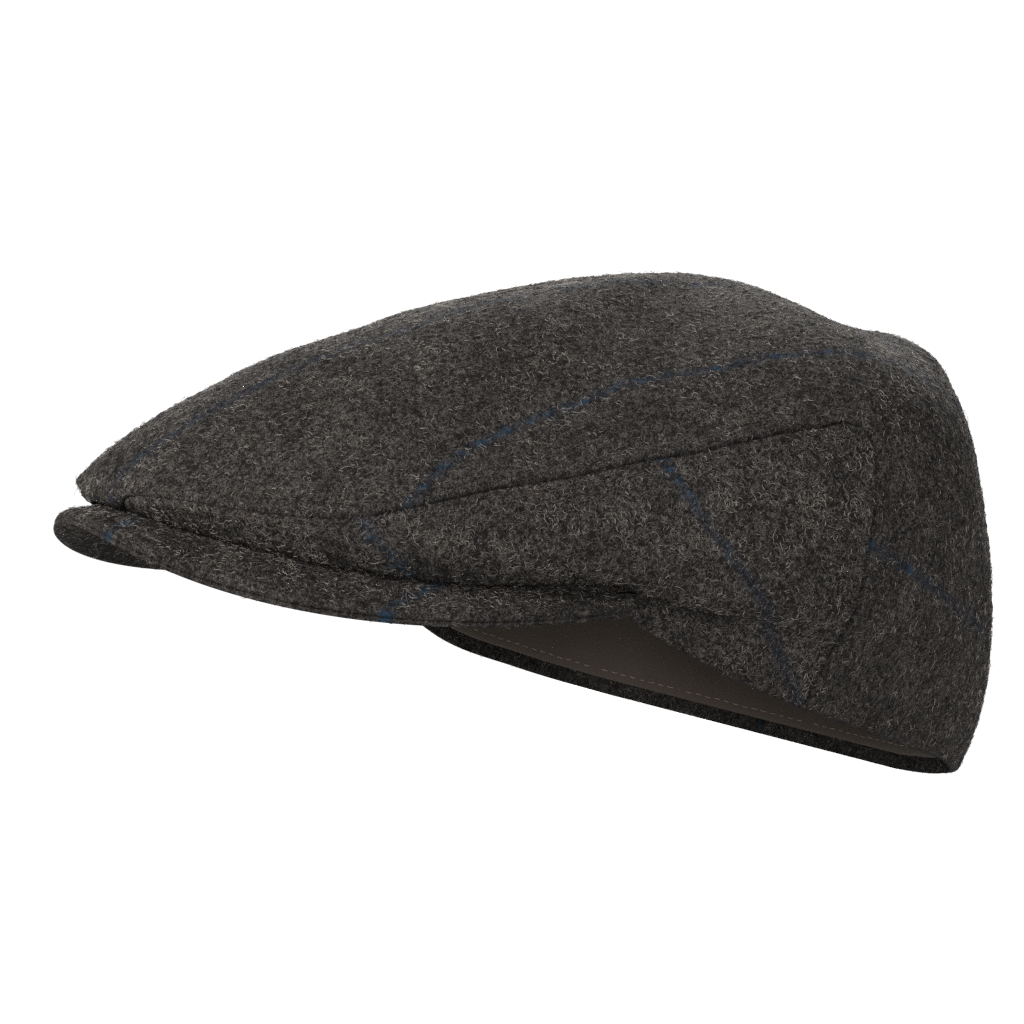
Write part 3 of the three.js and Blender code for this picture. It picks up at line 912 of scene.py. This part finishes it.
def fibre_bodies(roots, length, lift, end_lift, curl, width, rings):
    """Thin bent bodies, pointed at both ends: points and triangles of one fibre per root."""
    draw = roots.draw
    helper = np.where(np.abs(roots.normal[:, 2:]) < UPRIGHT, (0, 0, 1.0), (1.0, 0, 0))
    first = unit(np.cross(helper, roots.normal))
    second = np.cross(roots.normal, first)
    heading = draw.uniform(0, 2 * math.pi, roots.count)
    stops = rings + 2
    step = length / (stops - 1)
    place = roots.place.copy()
    spots = []
    aims = []
    for k in range(stops):
        share = k / (stops - 1)
        turn = heading + curl * (share - 0.5) * length
        aim = first * np.cos(turn)[:, None] + second * np.sin(turn)[:, None]
        height = lift * math.sin(math.pi * share) + end_lift * share**2 - ROOT_DEPTH
        spots.append(place + roots.normal * height[:, None])
        aims.append(aim)
        place = place + aim * step[:, None]
    half = width[:, None] / 2
    columns = [spots[0][:, None, :]]
    for k in range(1, stops - 1):
        side = unit(np.cross(roots.normal, aims[k]))
        for turn in RING_CORNERS:
            across = side * math.cos(math.radians(turn)) + roots.normal * math.sin(math.radians(turn))
            columns.append((spots[k] + across * half)[:, None, :])
    columns.append(spots[-1][:, None, :])
    points = np.concatenate(columns, axis=1)
    pattern = fibre_pattern(rings)
    offsets = np.arange(roots.count)[:, None, None] * points.shape[1]
    return points.reshape(-1, 3), (pattern[None] + offsets).reshape(-1, 3)


def fibre_pattern(rings):
    """Corner numbers of one fibre's triangles: a tip, three-cornered rings and a tip."""
    triangles = []
    last = 1 + 3 * rings
    for i in range(3):
        j = (i + 1) % 3
        triangles.append((0, 1 + j, 1 + i))
        for k in range(rings - 1):
            here = 1 + 3 * k
            triangles.append((here + i, here + j, here + 3 + j))
            triangles.append((here + i, here + 3 + j, here + 3 + i))
        end = last - 3
        triangles.append((end + i, end + j, last))
    return np.array(triangles)


def fibre_shades(roots, lines):
    """Which colour each fibre has: mixed wool in soft clouds, and blue wool along the check's lines."""
    clouds = soft_waves(roots.cloth, SEED + 3, count=24, shortest=3, longest=15, height=0.29)
    value = np.clip(roots.draw.uniform(size=roots.count) + clouds, 0, 0.999)
    shade = np.searchsorted(np.cumsum(SHADE_SHARES), value, side="right")
    shade = np.minimum(shade, len(SHADE_SHARES) - 1)
    dabs = soft_waves(roots.cloth, SEED + 4, count=16, shortest=6, longest=14, height=1.0)
    blue = (dabs > DAB_LEVEL) & (roots.draw.uniform(size=roots.count) < BLUE_SHARE * (1 - roots.worn))
    for column, (offset, period) in enumerate(lines):
        beside = np.abs((roots.check[:, column] - offset + period / 2) % period - period / 2)
        shade[(beside < BLUE_REACH) & blue] = FIBRE_SHADES.index("blue")
    return shade


# Kinds of fibre, in mm: rings of each body, usual, least and most length, range of the arch's height,
# share of fibres with a raised end, and ranges of that end's height, of curl per mm and of width
FIBRE_KINDS = {
    "curly": (2, (2.2, 1.3, 3.8), (0.06, 0.34), 0.1, (0.2, 0.7), (0.4, 1.6), (0.1, 0.2)),
    "loose": (4, (3.6, 2.0, 7.0), (0.15, 0.5), 0.25, (0.3, 1.4), (0.3, 1.3), (0.07, 0.12)),
}


def add_nap(name, skin, materials, lines, count, seed, kind):
    """One layer of a cloth's nap, all of one kind of fibre."""
    rings, (usual, least, most), arch, raised, rise, curl, width = FIBRE_KINDS[kind]
    roots = Roots(skin, count, seed)
    draw = roots.draw
    open_cloth = smooth_step(*NAP_OPENS, roots.from_edge)
    length = np.clip(draw.lognormal(math.log(usual), LENGTH_SPREAD, count), least, most)
    length = length * (LENGTH_AT_EDGE + (1 - LENGTH_AT_EDGE) * open_cloth)
    lift = draw.uniform(*arch, count) * open_cloth
    end_lift = np.where(draw.uniform(size=count) < raised, draw.uniform(*rise, count), 0) * open_cloth
    bend = draw.uniform(*curl, count) * draw.choice((-1, 1), count)
    thick = draw.uniform(*width, count)
    points, triangles = fibre_bodies(roots, length, lift, end_lift, bend, thick, rings)
    points[:, 2] = np.maximum(points[:, 2], LOWEST_STRAND)
    shades = np.repeat(fibre_shades(roots, lines), len(fibre_pattern(rings)))
    return add_triangles(name, points, triangles, shades, materials)


# Stitches, one row per ring: share of the stitch's length from its middle, share of its width, and how
# far the ring sinks into the cloth in mm
STITCH_RINGS = (
    (-0.5, 0.35, 0.24),
    (-0.36, 0.85, 0.05),
    (0, 1, 0),
    (0.36, 0.85, 0.05),
    (0.5, 0.35, 0.24),
)
STITCH_SIDES = 6
STITCH_FLATNESS = 0.75
STITCH_SHIFT = 0.07
STITCH_SLANT = 0.06
STITCH_HEADING = 0.2
THREAD_PROUD = 0.1
BAND_THREAD_PROUD = 0.08

# Stitch rows: first and last direction or level of each line, with its count of points, the step that
# shows which way is up from a seam, and the place of the peak's row outside the foot of the crown
SIDE_ROW = (12, REAR_SEAM - 3.5, 260)
REAR_ROW = (0.03, REAR_CORNER - 0.03, 120)
PEAK_ROW = (9, 50, 160)
BAND_ROW = (0, 360, 900)
UP_STEP = 0.01
PEAK_ROW_OUT = 1.2


def resampled(line, normals, pitch):
    """Evenly spaced places on a line, with the directions along it and out of the cloth."""
    along = path_length(line)
    at = np.arange(pitch / 2, along[-1] - pitch / 2, pitch)

    def read(values, where):
        return np.stack([np.interp(where, along, values[:, k]) for k in range(3)], axis=1)

    place = read(line, at)
    return place, unit(read(line, at + STITCH_HEADING) - place), unit(read(normals, at))


def stitch_pattern():
    """Corner numbers of one stitch's triangles: rings, closed at both ends."""
    sides = STITCH_SIDES
    end = (len(STITCH_RINGS) - 1) * sides
    pattern = []
    for a in range(end):
        b = a + 1 if (a + 1) % sides else a + 1 - sides
        pattern += [(a, b, b + sides), (a, b + sides, a + sides)]
    for i in range(1, sides - 1):
        pattern += [(0, i + 1, i), (end, end + i, end + i + 1)]
    return np.array(pattern)


def add_stitches(name, rows, material, proud, seed):
    """Sewn rows: each stitch is a short plump thread that dips into the cloth at both ends."""
    draw = np.random.default_rng(seed)
    turns = np.arange(STITCH_SIDES) * 2 * math.pi / STITCH_SIDES
    stitches = []
    for line, normal_line in rows:
        place, along, normal = resampled(line, normal_line, STITCH_PITCH)
        place = place + draw.normal(0, STITCH_SHIFT, place.shape)
        side = unit(np.cross(normal, along))
        along = unit(along + side * draw.normal(0, STITCH_SLANT, (len(place), 1)))
        side = unit(np.cross(normal, along))
        corners = []
        for share, fat, sink in STITCH_RINGS:
            centre = place + along * share * STITCH_LENGTH + normal * (proud - sink)
            for turn in turns:
                reach = side * math.cos(turn) + normal * math.sin(turn) * STITCH_FLATNESS
                corners.append(centre + reach * fat * STITCH_WIDTH / 2)
        stitches.append(np.stack(corners, axis=1))
    points = np.concatenate(stitches)
    offsets = np.arange(len(points))[:, None, None] * points.shape[1]
    triangles = (stitch_pattern() + offsets).reshape(-1, 3)
    points = points.reshape(-1, 3)
    points[:, 2] = np.maximum(points[:, 2], LOWEST_STRAND)
    return add_triangles(name, points, triangles, np.zeros(len(triangles)), [material])


def crown_row(deg, level):
    """A line over the crown in its furrow, with the outward direction along it."""
    points = crown_point(deg, level)
    normal = crown_normal(deg, level)
    return points + normal * crown_relief(points)[:, None], normal


def beside_side_seam(side, above):
    """The stitch row that follows a side seam, one row's distance above or below it."""
    deg = np.linspace(*SIDE_ROW)
    seam = seam_level(deg)
    up = crown_point(side * deg, seam + UP_STEP) - crown_point(side * deg, seam)
    along = unit(np.gradient(crown_point(side * deg, seam), axis=0))
    rise = up - along * (up * along).sum(axis=1)[:, None]
    pace = np.linalg.norm(rise, axis=1) / UP_STEP
    level = seam + (1 if above else -1) * STITCH_ROW / pace
    return crown_row(side * deg, level)


def beside_rear_seam(side):
    """The stitch row that follows a rear seam on the side panel's edge."""
    level = np.linspace(*REAR_ROW)
    pace = np.linalg.norm(crown_point(REAR_SEAM - 1, level) - crown_point(REAR_SEAM, level), axis=1)
    return crown_row(side * (REAR_SEAM - STITCH_ROW / pace), level)


def peak_row(side):
    """The row on the peak that follows the foot of the crown."""
    deg = np.linspace(*PEAK_ROW)
    radius = crown_column("edge_r", deg) + PEAK_ROW_OUT
    place = polar(side * deg, radius, 0)
    place[:, 2] = peak_underside(place) + 2 * PEAK_COVER + PIECE_GAP
    return place, np.tile((0, 0, 1.0), (len(deg), 1))


def band_row():
    """The row that sews the sweatband to the hem, just above the band's lower edge."""
    deg = np.linspace(*BAND_ROW)
    radius, low = band_foot(deg)
    face = radius - BAND_CLOTH - BAND_LEAN * BAND_STITCH_ROW / BAND_HEIGHT
    return polar(deg, face, low + BAND_STITCH_ROW), polar(deg, -np.ones_like(deg), 0)


# Materials


class Nodes:
    """A short way to add shader nodes: inputs by name, as values or as sockets to link from."""

    def __init__(self, name):
        self.material = bpy.data.materials.new(name)
        self.material.use_nodes = True
        self.tree = self.material.node_tree
        self.tree.nodes.clear()

    def add(self, kind, inputs, **settings):
        made = self.tree.nodes.new(kind)
        for key, value in settings.items():
            setattr(made, key, value)
        for key, value in inputs.items():
            if isinstance(value, bpy.types.NodeSocket):
                self.tree.links.new(value, made.inputs[key])
            else:
                made.inputs[key].default_value = value
        return made.outputs

    def attribute(self, name):
        return self.add("ShaderNodeAttribute", {}, attribute_name=name)["Vector"]

    def math(self, operation, first, second=0.0):
        return self.add("ShaderNodeMath", {0: first, 1: second}, operation=operation)[0]

    def times(self, first, second):
        return self.math("MULTIPLY", first, second)

    def rest(self, value):
        """What is left of one."""
        return self.math("SUBTRACT", 1.0, value)

    def noise(self, vector, scale, detail=2.0):
        inputs = {"Vector": vector, "Scale": scale, "Detail": detail, "Roughness": 0.6}
        return self.add("ShaderNodeTexNoise", inputs)

    def ramp(self, value, low, high):
        inputs = {"Value": value, "From Min": low, "From Max": high}
        return self.add("ShaderNodeMapRange", inputs, clamp=True)["Result"]

    def patches(self, place, scale, detail, low, high):
        """A noise pattern that fades in between two of its values."""
        return self.ramp(self.noise(place, scale, detail)["Fac"], low, high)

    def blend(self, share, first, second):
        return self.add("ShaderNodeMix", {0: share, 6: first, 7: second}, data_type="RGBA")[2]

    def finish(self, inputs):
        """The material, whose surface has the given inputs."""
        shader = self.add("ShaderNodeBsdfPrincipled", inputs)[0]
        self.add("ShaderNodeOutputMaterial", {"Surface": shader})
        return self.material


def linear(*screen):
    """A colour from screen values of 0 to 255."""
    channels = [((v / 255 + 0.055) / 1.055) ** 2.4 if v > 10 else v / 255 / 12.92 for v in screen]
    return (*channels, 1.0)


WOOL_DARK = linear(16, 15, 15)
WOOL_MID = linear(40, 38, 37)
WOOL_LIGHT = linear(118, 112, 106)
LINE_BLUE = linear(30, 62, 84)
LINE_NAVY = linear(25, 30, 41)
FIBRE_COLOURS = {
    "dark": linear(29, 28, 27),
    "mid": linear(50, 48, 46),
    "rust": linear(72, 60, 51),
    "light": linear(100, 96, 91),
    "pale": linear(136, 130, 123),
    "blue": linear(38, 69, 93),
}
THREAD = linear(78, 68, 63)
BAND_THREAD = linear(150, 134, 120)
BAND = linear(73, 64, 56)
BAND_DARK = (*(0.72 * v for v in BAND[:3]), 1.0)

# Layers of strands drawn in the wool: turns per mm and breadth of each, the shift from layer to layer,
# and the pattern that ends the strands
STRANDS = ((0.8, 0.03), (1.3, 0.04), (0.55, 0.025))
STRAND_SHIFT = (31.0, 17.0, 5.0)
STRAND_ENDS = (0.6, 1.0)
STRAND_ENDS_FADE = (0.42, 0.58)

# Noise patterns: turns per mm, detail, and the values between which each fades in
FLECKS = (2.2, 2.0, 0.36, 0.68)
CLOUDS = (0.07, 3.0, 0.3, 0.7)
DABS = (0.25, 1.0, 0.5, 0.62)
RAGS = (1.4, 2.0, 0.35, 0.6)
BAND_CLOUDS = (0.12, 3.0, 0.3, 0.7)

# Ribs: the wave pattern turns by 20 radians in a unit
WAVE_TURN = 20
RIB_WAVE = {"Scale": 2 * math.pi / (WAVE_TURN * RIB_PITCH), "Distortion": 1.5, "Detail": 2.0}
TWILL_WAVE = {"Scale": 0.5, "Distortion": 0.6, "Detail": 1.0}

# Shares of the layers in the wool's colour, and between which distances from a line its colours fade
FLECK_SHARE = 0.7
RIB_SHARE = 0.3
STRAND_SHARE = 0.8
CLOUD_SHARE = 0.42
# Share by which painted shade darkens the seam furrows and ear creases towards the dark ground
PAINTED_SHADE_SHARE = 0.8
NAVY_SHARE = 0.4
NAVY_FADE = (0.6, 2.4)
BLUE_LINE_SHARE = 0.6
BLUE_FADE = (0.6, 1.8)
STRAND_RELIEF = 0.6
RIB_RELIEF = 0.4
WOOL_BUMP = {"Strength": 0.5, "Distance": 0.35 * MM}

# Shares of twill and clouds in the band's colour
TWILL_SHARE = 0.4
BAND_CLOUD_SHARE = 0.3
TWILL_BUMP = {"Strength": 0.3, "Distance": 0.1 * MM}


def strand_layers(nodes, place):
    """Curly strands that wander over the cloth and end here and there."""
    strands = 0.0
    for k, (scale, width) in enumerate(STRANDS):
        shift = tuple(k * v for v in STRAND_SHIFT)
        moved = nodes.add("ShaderNodeMapping", {"Vector": place, "Location": shift})[0]
        beside = nodes.math("ABSOLUTE", nodes.math("SUBTRACT", nodes.noise(moved, scale)["Fac"], 0.5))
        line = nodes.rest(nodes.ramp(beside, 0.0, width))
        ends = nodes.ramp(nodes.noise(moved, *STRAND_ENDS)["Color"], *STRAND_ENDS_FADE)
        strands = nodes.math("MAXIMUM", strands, nodes.times(line, ends))
    return strands


def wool(name, lines):
    """Napped tweed: curly strands of lighter wool on a dark ground, soft ribs and broken blue lines,
    with painted shade in the seam furrows and the ear creases.
    """
    nodes = Nodes(name)
    place = nodes.attribute("cloth")
    strands = strand_layers(nodes, place)
    fleck = nodes.patches(place, *FLECKS)
    clouds = nodes.patches(place, *CLOUDS)
    ribs = nodes.add("ShaderNodeTexWave", {"Vector": place, **RIB_WAVE}, bands_direction="X")["Fac"]
    ground = nodes.math("ADD", nodes.times(fleck, FLECK_SHARE), nodes.times(ribs, RIB_SHARE))
    shade = nodes.blend(ground, WOOL_DARK, WOOL_MID)
    shade = nodes.blend(nodes.times(strands, STRAND_SHARE), shade, WOOL_LIGHT)
    shade = nodes.blend(nodes.times(clouds, CLOUD_SHARE), shade, WOOL_DARK)
    # Painted shade: the seam furrows and the ear creases are darkened towards the dark ground
    bare_and_painted_shade, worn, _ = nodes.add("ShaderNodeSeparateXYZ", {0: nodes.attribute("shade_and_wear")})
    shade = nodes.blend(nodes.times(bare_and_painted_shade, PAINTED_SHADE_SHARE), shade, WOOL_DARK)
    across = nodes.add("ShaderNodeSeparateXYZ", {0: nodes.attribute("check")})
    for column, (offset, period) in enumerate(lines):
        beside = nodes.math("PINGPONG", nodes.math("SUBTRACT", across[column], offset), period / 2)
        navy = nodes.rest(nodes.ramp(beside, *NAVY_FADE))
        shade = nodes.blend(nodes.times(navy, NAVY_SHARE), shade, LINE_NAVY)
        dabs = nodes.patches(place, *DABS)
        ragged = nodes.patches(place, *RAGS)
        blue = nodes.times(nodes.rest(nodes.ramp(beside, *BLUE_FADE)), dabs)
        blue = nodes.times(blue, nodes.times(ragged, nodes.rest(worn)))
        shade = nodes.blend(nodes.times(blue, BLUE_LINE_SHARE), shade, LINE_BLUE)
    relief = nodes.math("ADD", nodes.times(strands, STRAND_RELIEF), nodes.times(ribs, RIB_RELIEF))
    bump = nodes.add("ShaderNodeBump", {"Height": relief, **WOOL_BUMP})[0]
    inputs = {"Base Color": shade, "Normal": bump, "Roughness": 1.0, "Specular IOR Level": 0.04}
    return nodes.finish(inputs)


def fibre(name, colour):
    """Loose wool or thread of one colour."""
    return Nodes(name).finish({"Base Color": colour, "Roughness": 0.9, "Specular IOR Level": 0.1})


def band_cloth(name):
    """Smooth twill with a slight sheen."""
    nodes = Nodes(name)
    place = nodes.attribute("cloth")
    ribs = {"Vector": place, **TWILL_WAVE}
    twill = nodes.add("ShaderNodeTexWave", ribs, bands_direction="DIAGONAL")["Fac"]
    shade = nodes.blend(nodes.times(twill, TWILL_SHARE), BAND, BAND_DARK)
    cloud = nodes.times(nodes.patches(place, *BAND_CLOUDS), BAND_CLOUD_SHARE)
    shade = nodes.blend(cloud, shade, BAND_DARK)
    bump = nodes.add("ShaderNodeBump", {"Height": twill, **TWILL_BUMP})[0]
    inputs = {"Base Color": shade, "Normal": bump, "Roughness": 0.75, "Specular IOR Level": 0.3}
    return nodes.finish({**inputs, "Sheen Weight": 0.1})


cloth_materials = {
    "wool_top": wool("wool_top", TOP_LINES),
    "wool_side": wool("wool_side", SIDE_LINES),
    "wool_peak": wool("wool_peak", PEAK_LINES),
    "band_cloth": band_cloth("band_twill"),
}
fibres = [fibre("wool_fibre_" + shade, FIBRE_COLOURS[shade]) for shade in FIBRE_SHADES]
thread = fibre("sewing_thread", THREAD)
band_thread = fibre("band_thread", BAND_THREAD)

# Pieces: skin, material slot and lines of each cloth, by the solid that it stands for

SKINS = {
    "top_panel": (top_panel_skin(), "wool_top", TOP_LINES),
    "side_panel_left": (side_panel_skin(1), "wool_side", SIDE_LINES),
    "side_panel_right": (side_panel_skin(-1), "wool_side", SIDE_LINES),
    "peak_upper": (peak_skin(True), "wool_peak", PEAK_LINES),
    "peak_under": (peak_skin(False), "wool_peak", PEAK_LINES),
    "sweatband": (sweatband_skin(), "band_cloth", ()),
}
for node, (skin, slot, _) in SKINS.items():
    add_cloth(node + "_cloth", node, skin, cloth_materials[slot])

# Layers of nap: cloth, layer, count and kind of fibre
NAP = (
    ("top_panel", "nap", 16200, "curly"),
    ("top_panel", "curls", 16200, "curly"),
    ("top_panel", "fuzz", 3100, "loose"),
    ("side_panel_left", "nap", 6500, "curly"),
    ("side_panel_left", "fuzz", 900, "loose"),
    ("side_panel_right", "nap", 6500, "curly"),
    ("side_panel_right", "fuzz", 900, "loose"),
    # The peak's upper nap is made denser to lighten the peak where the crown shades it: painted light
    ("peak_upper", "nap", 9700, "curly"),
    ("peak_upper", "fuzz", 900, "loose"),
    ("peak_under", "nap", 3000, "curly"),
)
carried = {node: [] for node in SKINS}
for number, (node, layer, count, kind) in enumerate(NAP):
    skin, slot, lines = SKINS[node]
    name = f"{node}_{layer}"
    carried[node].append(add_nap(name, skin, fibres, lines, count, SEED + 10 + number, kind))

for side, tag in ((1, "left"), (-1, "right")):
    rows = [beside_side_seam(side, True), beside_side_seam(side, False), beside_rear_seam(side)]
    name = "seam_stitches_" + tag
    sewn = add_stitches(name, rows, thread, THREAD_PROUD, SEED + 40 + side)
    carried["side_panel_" + tag].append(sewn)
rows = [peak_row(1), peak_row(-1)]
sewn = add_stitches("peak_stitches", rows, thread, THREAD_PROUD, SEED + 43)
carried["peak_upper"].append(sewn)
rows = [band_row()]
sewn = add_stitches("band_stitches", rows, band_thread, BAND_THREAD_PROUD, SEED + 44)
carried["sweatband"].append(sewn)

# Stage: a pale floor, a white backdrop, soft light and the camera, in metres and watts

CAMERA_AZIMUTH = 62
FLOOR_HALF = 6.0
FLOOR_DROP = -0.1 * MM
BACKDROP_DISTANCE = 1.2
BACKDROP_HALF = 1.4
BACKDROP_HEIGHT = 0.9
WORLD_STRENGTH = 0.5

# Lamps: name, place, size and power
LAMPS = (
    ("back", (-0.9, 0.5, 0.9), 0.8, 70.0),
    ("key", (0.15, -1.38, 0.4), 0.55, 20.5),
    ("low_fill", (1.3, -0.75, 0.06), 0.12, 6.0),
)


def add_stage(name, corners, shade, glow):
    """A flat pale sheet of the stage, in metres, with a glow of its own."""
    mesh = bpy.data.meshes.new(name)
    mesh.from_pydata(corners, [], [(0, 1, 2, 3)])
    inputs = {
        "Base Color": (shade, shade, shade, 1),
        "Roughness": 0.9,
        "Specular IOR Level": 0.1,
        "Emission Color": (1, 1, 1, 1),
        "Emission Strength": glow,
    }
    mesh.materials.append(Nodes(name).finish(inputs))
    put_in_scene(name, mesh)


def floor_corners():
    half = FLOOR_HALF
    return [(x, y, FLOOR_DROP) for x, y in ((-half, -half), (half, -half), (half, half), (-half, half))]


def backdrop_corners():
    """An upright sheet behind the cap, square to the camera."""
    azimuth = math.radians(CAMERA_AZIMUTH)
    away = Vector((-math.sin(azimuth), math.cos(azimuth), 0))
    aside = Vector((away.y, -away.x, 0)) * BACKDROP_HALF
    foot = away * BACKDROP_DISTANCE + Vector((0, 0, FLOOR_DROP))
    top = foot + Vector((0, 0, BACKDROP_HEIGHT))
    return [foot - aside, foot + aside, top + aside, top - aside]


def add_lights():
    world = bpy.data.worlds.new("studio")
    world.use_nodes = True
    background = world.node_tree.nodes["Background"]
    background.inputs["Color"].default_value = (1, 1, 1, 1)
    background.inputs["Strength"].default_value = WORLD_STRENGTH
    bpy.context.scene.world = world
    for name, place, size, power in LAMPS:
        lamp = bpy.data.lights.new(name, "AREA")
        lamp.size = size
        lamp.energy = power
        made = put_in_scene(name, lamp)
        made.location = place
        made.rotation_euler = (-Vector(place)).to_track_quat("-Z", "Y").to_euler()


CAMERA_AIM = (0, -44, 42)
CAMERA_DISTANCE = 850
CAMERA_HEIGHT = 0.3
CAMERA_ROLL = 14.5
PIXELS_PER_MM = 3.63
FRAME_PIXELS = 1024
SENSOR = 36


def add_camera():
    azimuth = math.radians(CAMERA_AZIMUTH)
    aim = np.array(CAMERA_AIM, float)
    place = aim + np.array([math.sin(azimuth), -math.cos(azimuth), 0]) * CAMERA_DISTANCE
    place[2] = CAMERA_HEIGHT
    back = Vector(place - aim)
    range_mm = back.length
    back.normalize()
    level = Vector((0, 0, 1)).cross(back).normalized()
    upright = back.cross(level)
    roll = math.radians(CAMERA_ROLL)
    right = level * math.cos(roll) + upright * math.sin(roll)
    up = upright * math.cos(roll) - level * math.sin(roll)
    lens = bpy.data.cameras.new("camera")
    lens.sensor_width = SENSOR
    lens.lens = PIXELS_PER_MM * range_mm * SENSOR / FRAME_PIXELS
    lens.clip_start = MM
    made = put_in_scene("camera", lens)
    turn = Matrix((right, up, back)).transposed().to_4x4()
    made.matrix_world = Matrix.Translation(Vector(to_frame(place))) @ turn
    bpy.context.scene.camera = made


add_stage("pale_floor", floor_corners(), shade=0.4, glow=0.5)
add_stage("white_backdrop", backdrop_corners(), shade=0.05, glow=1.0)
add_lights()
add_camera()
bpy.context.scene.view_settings.view_transform = "Standard"
bpy.context.scene.cycles.use_denoising = False
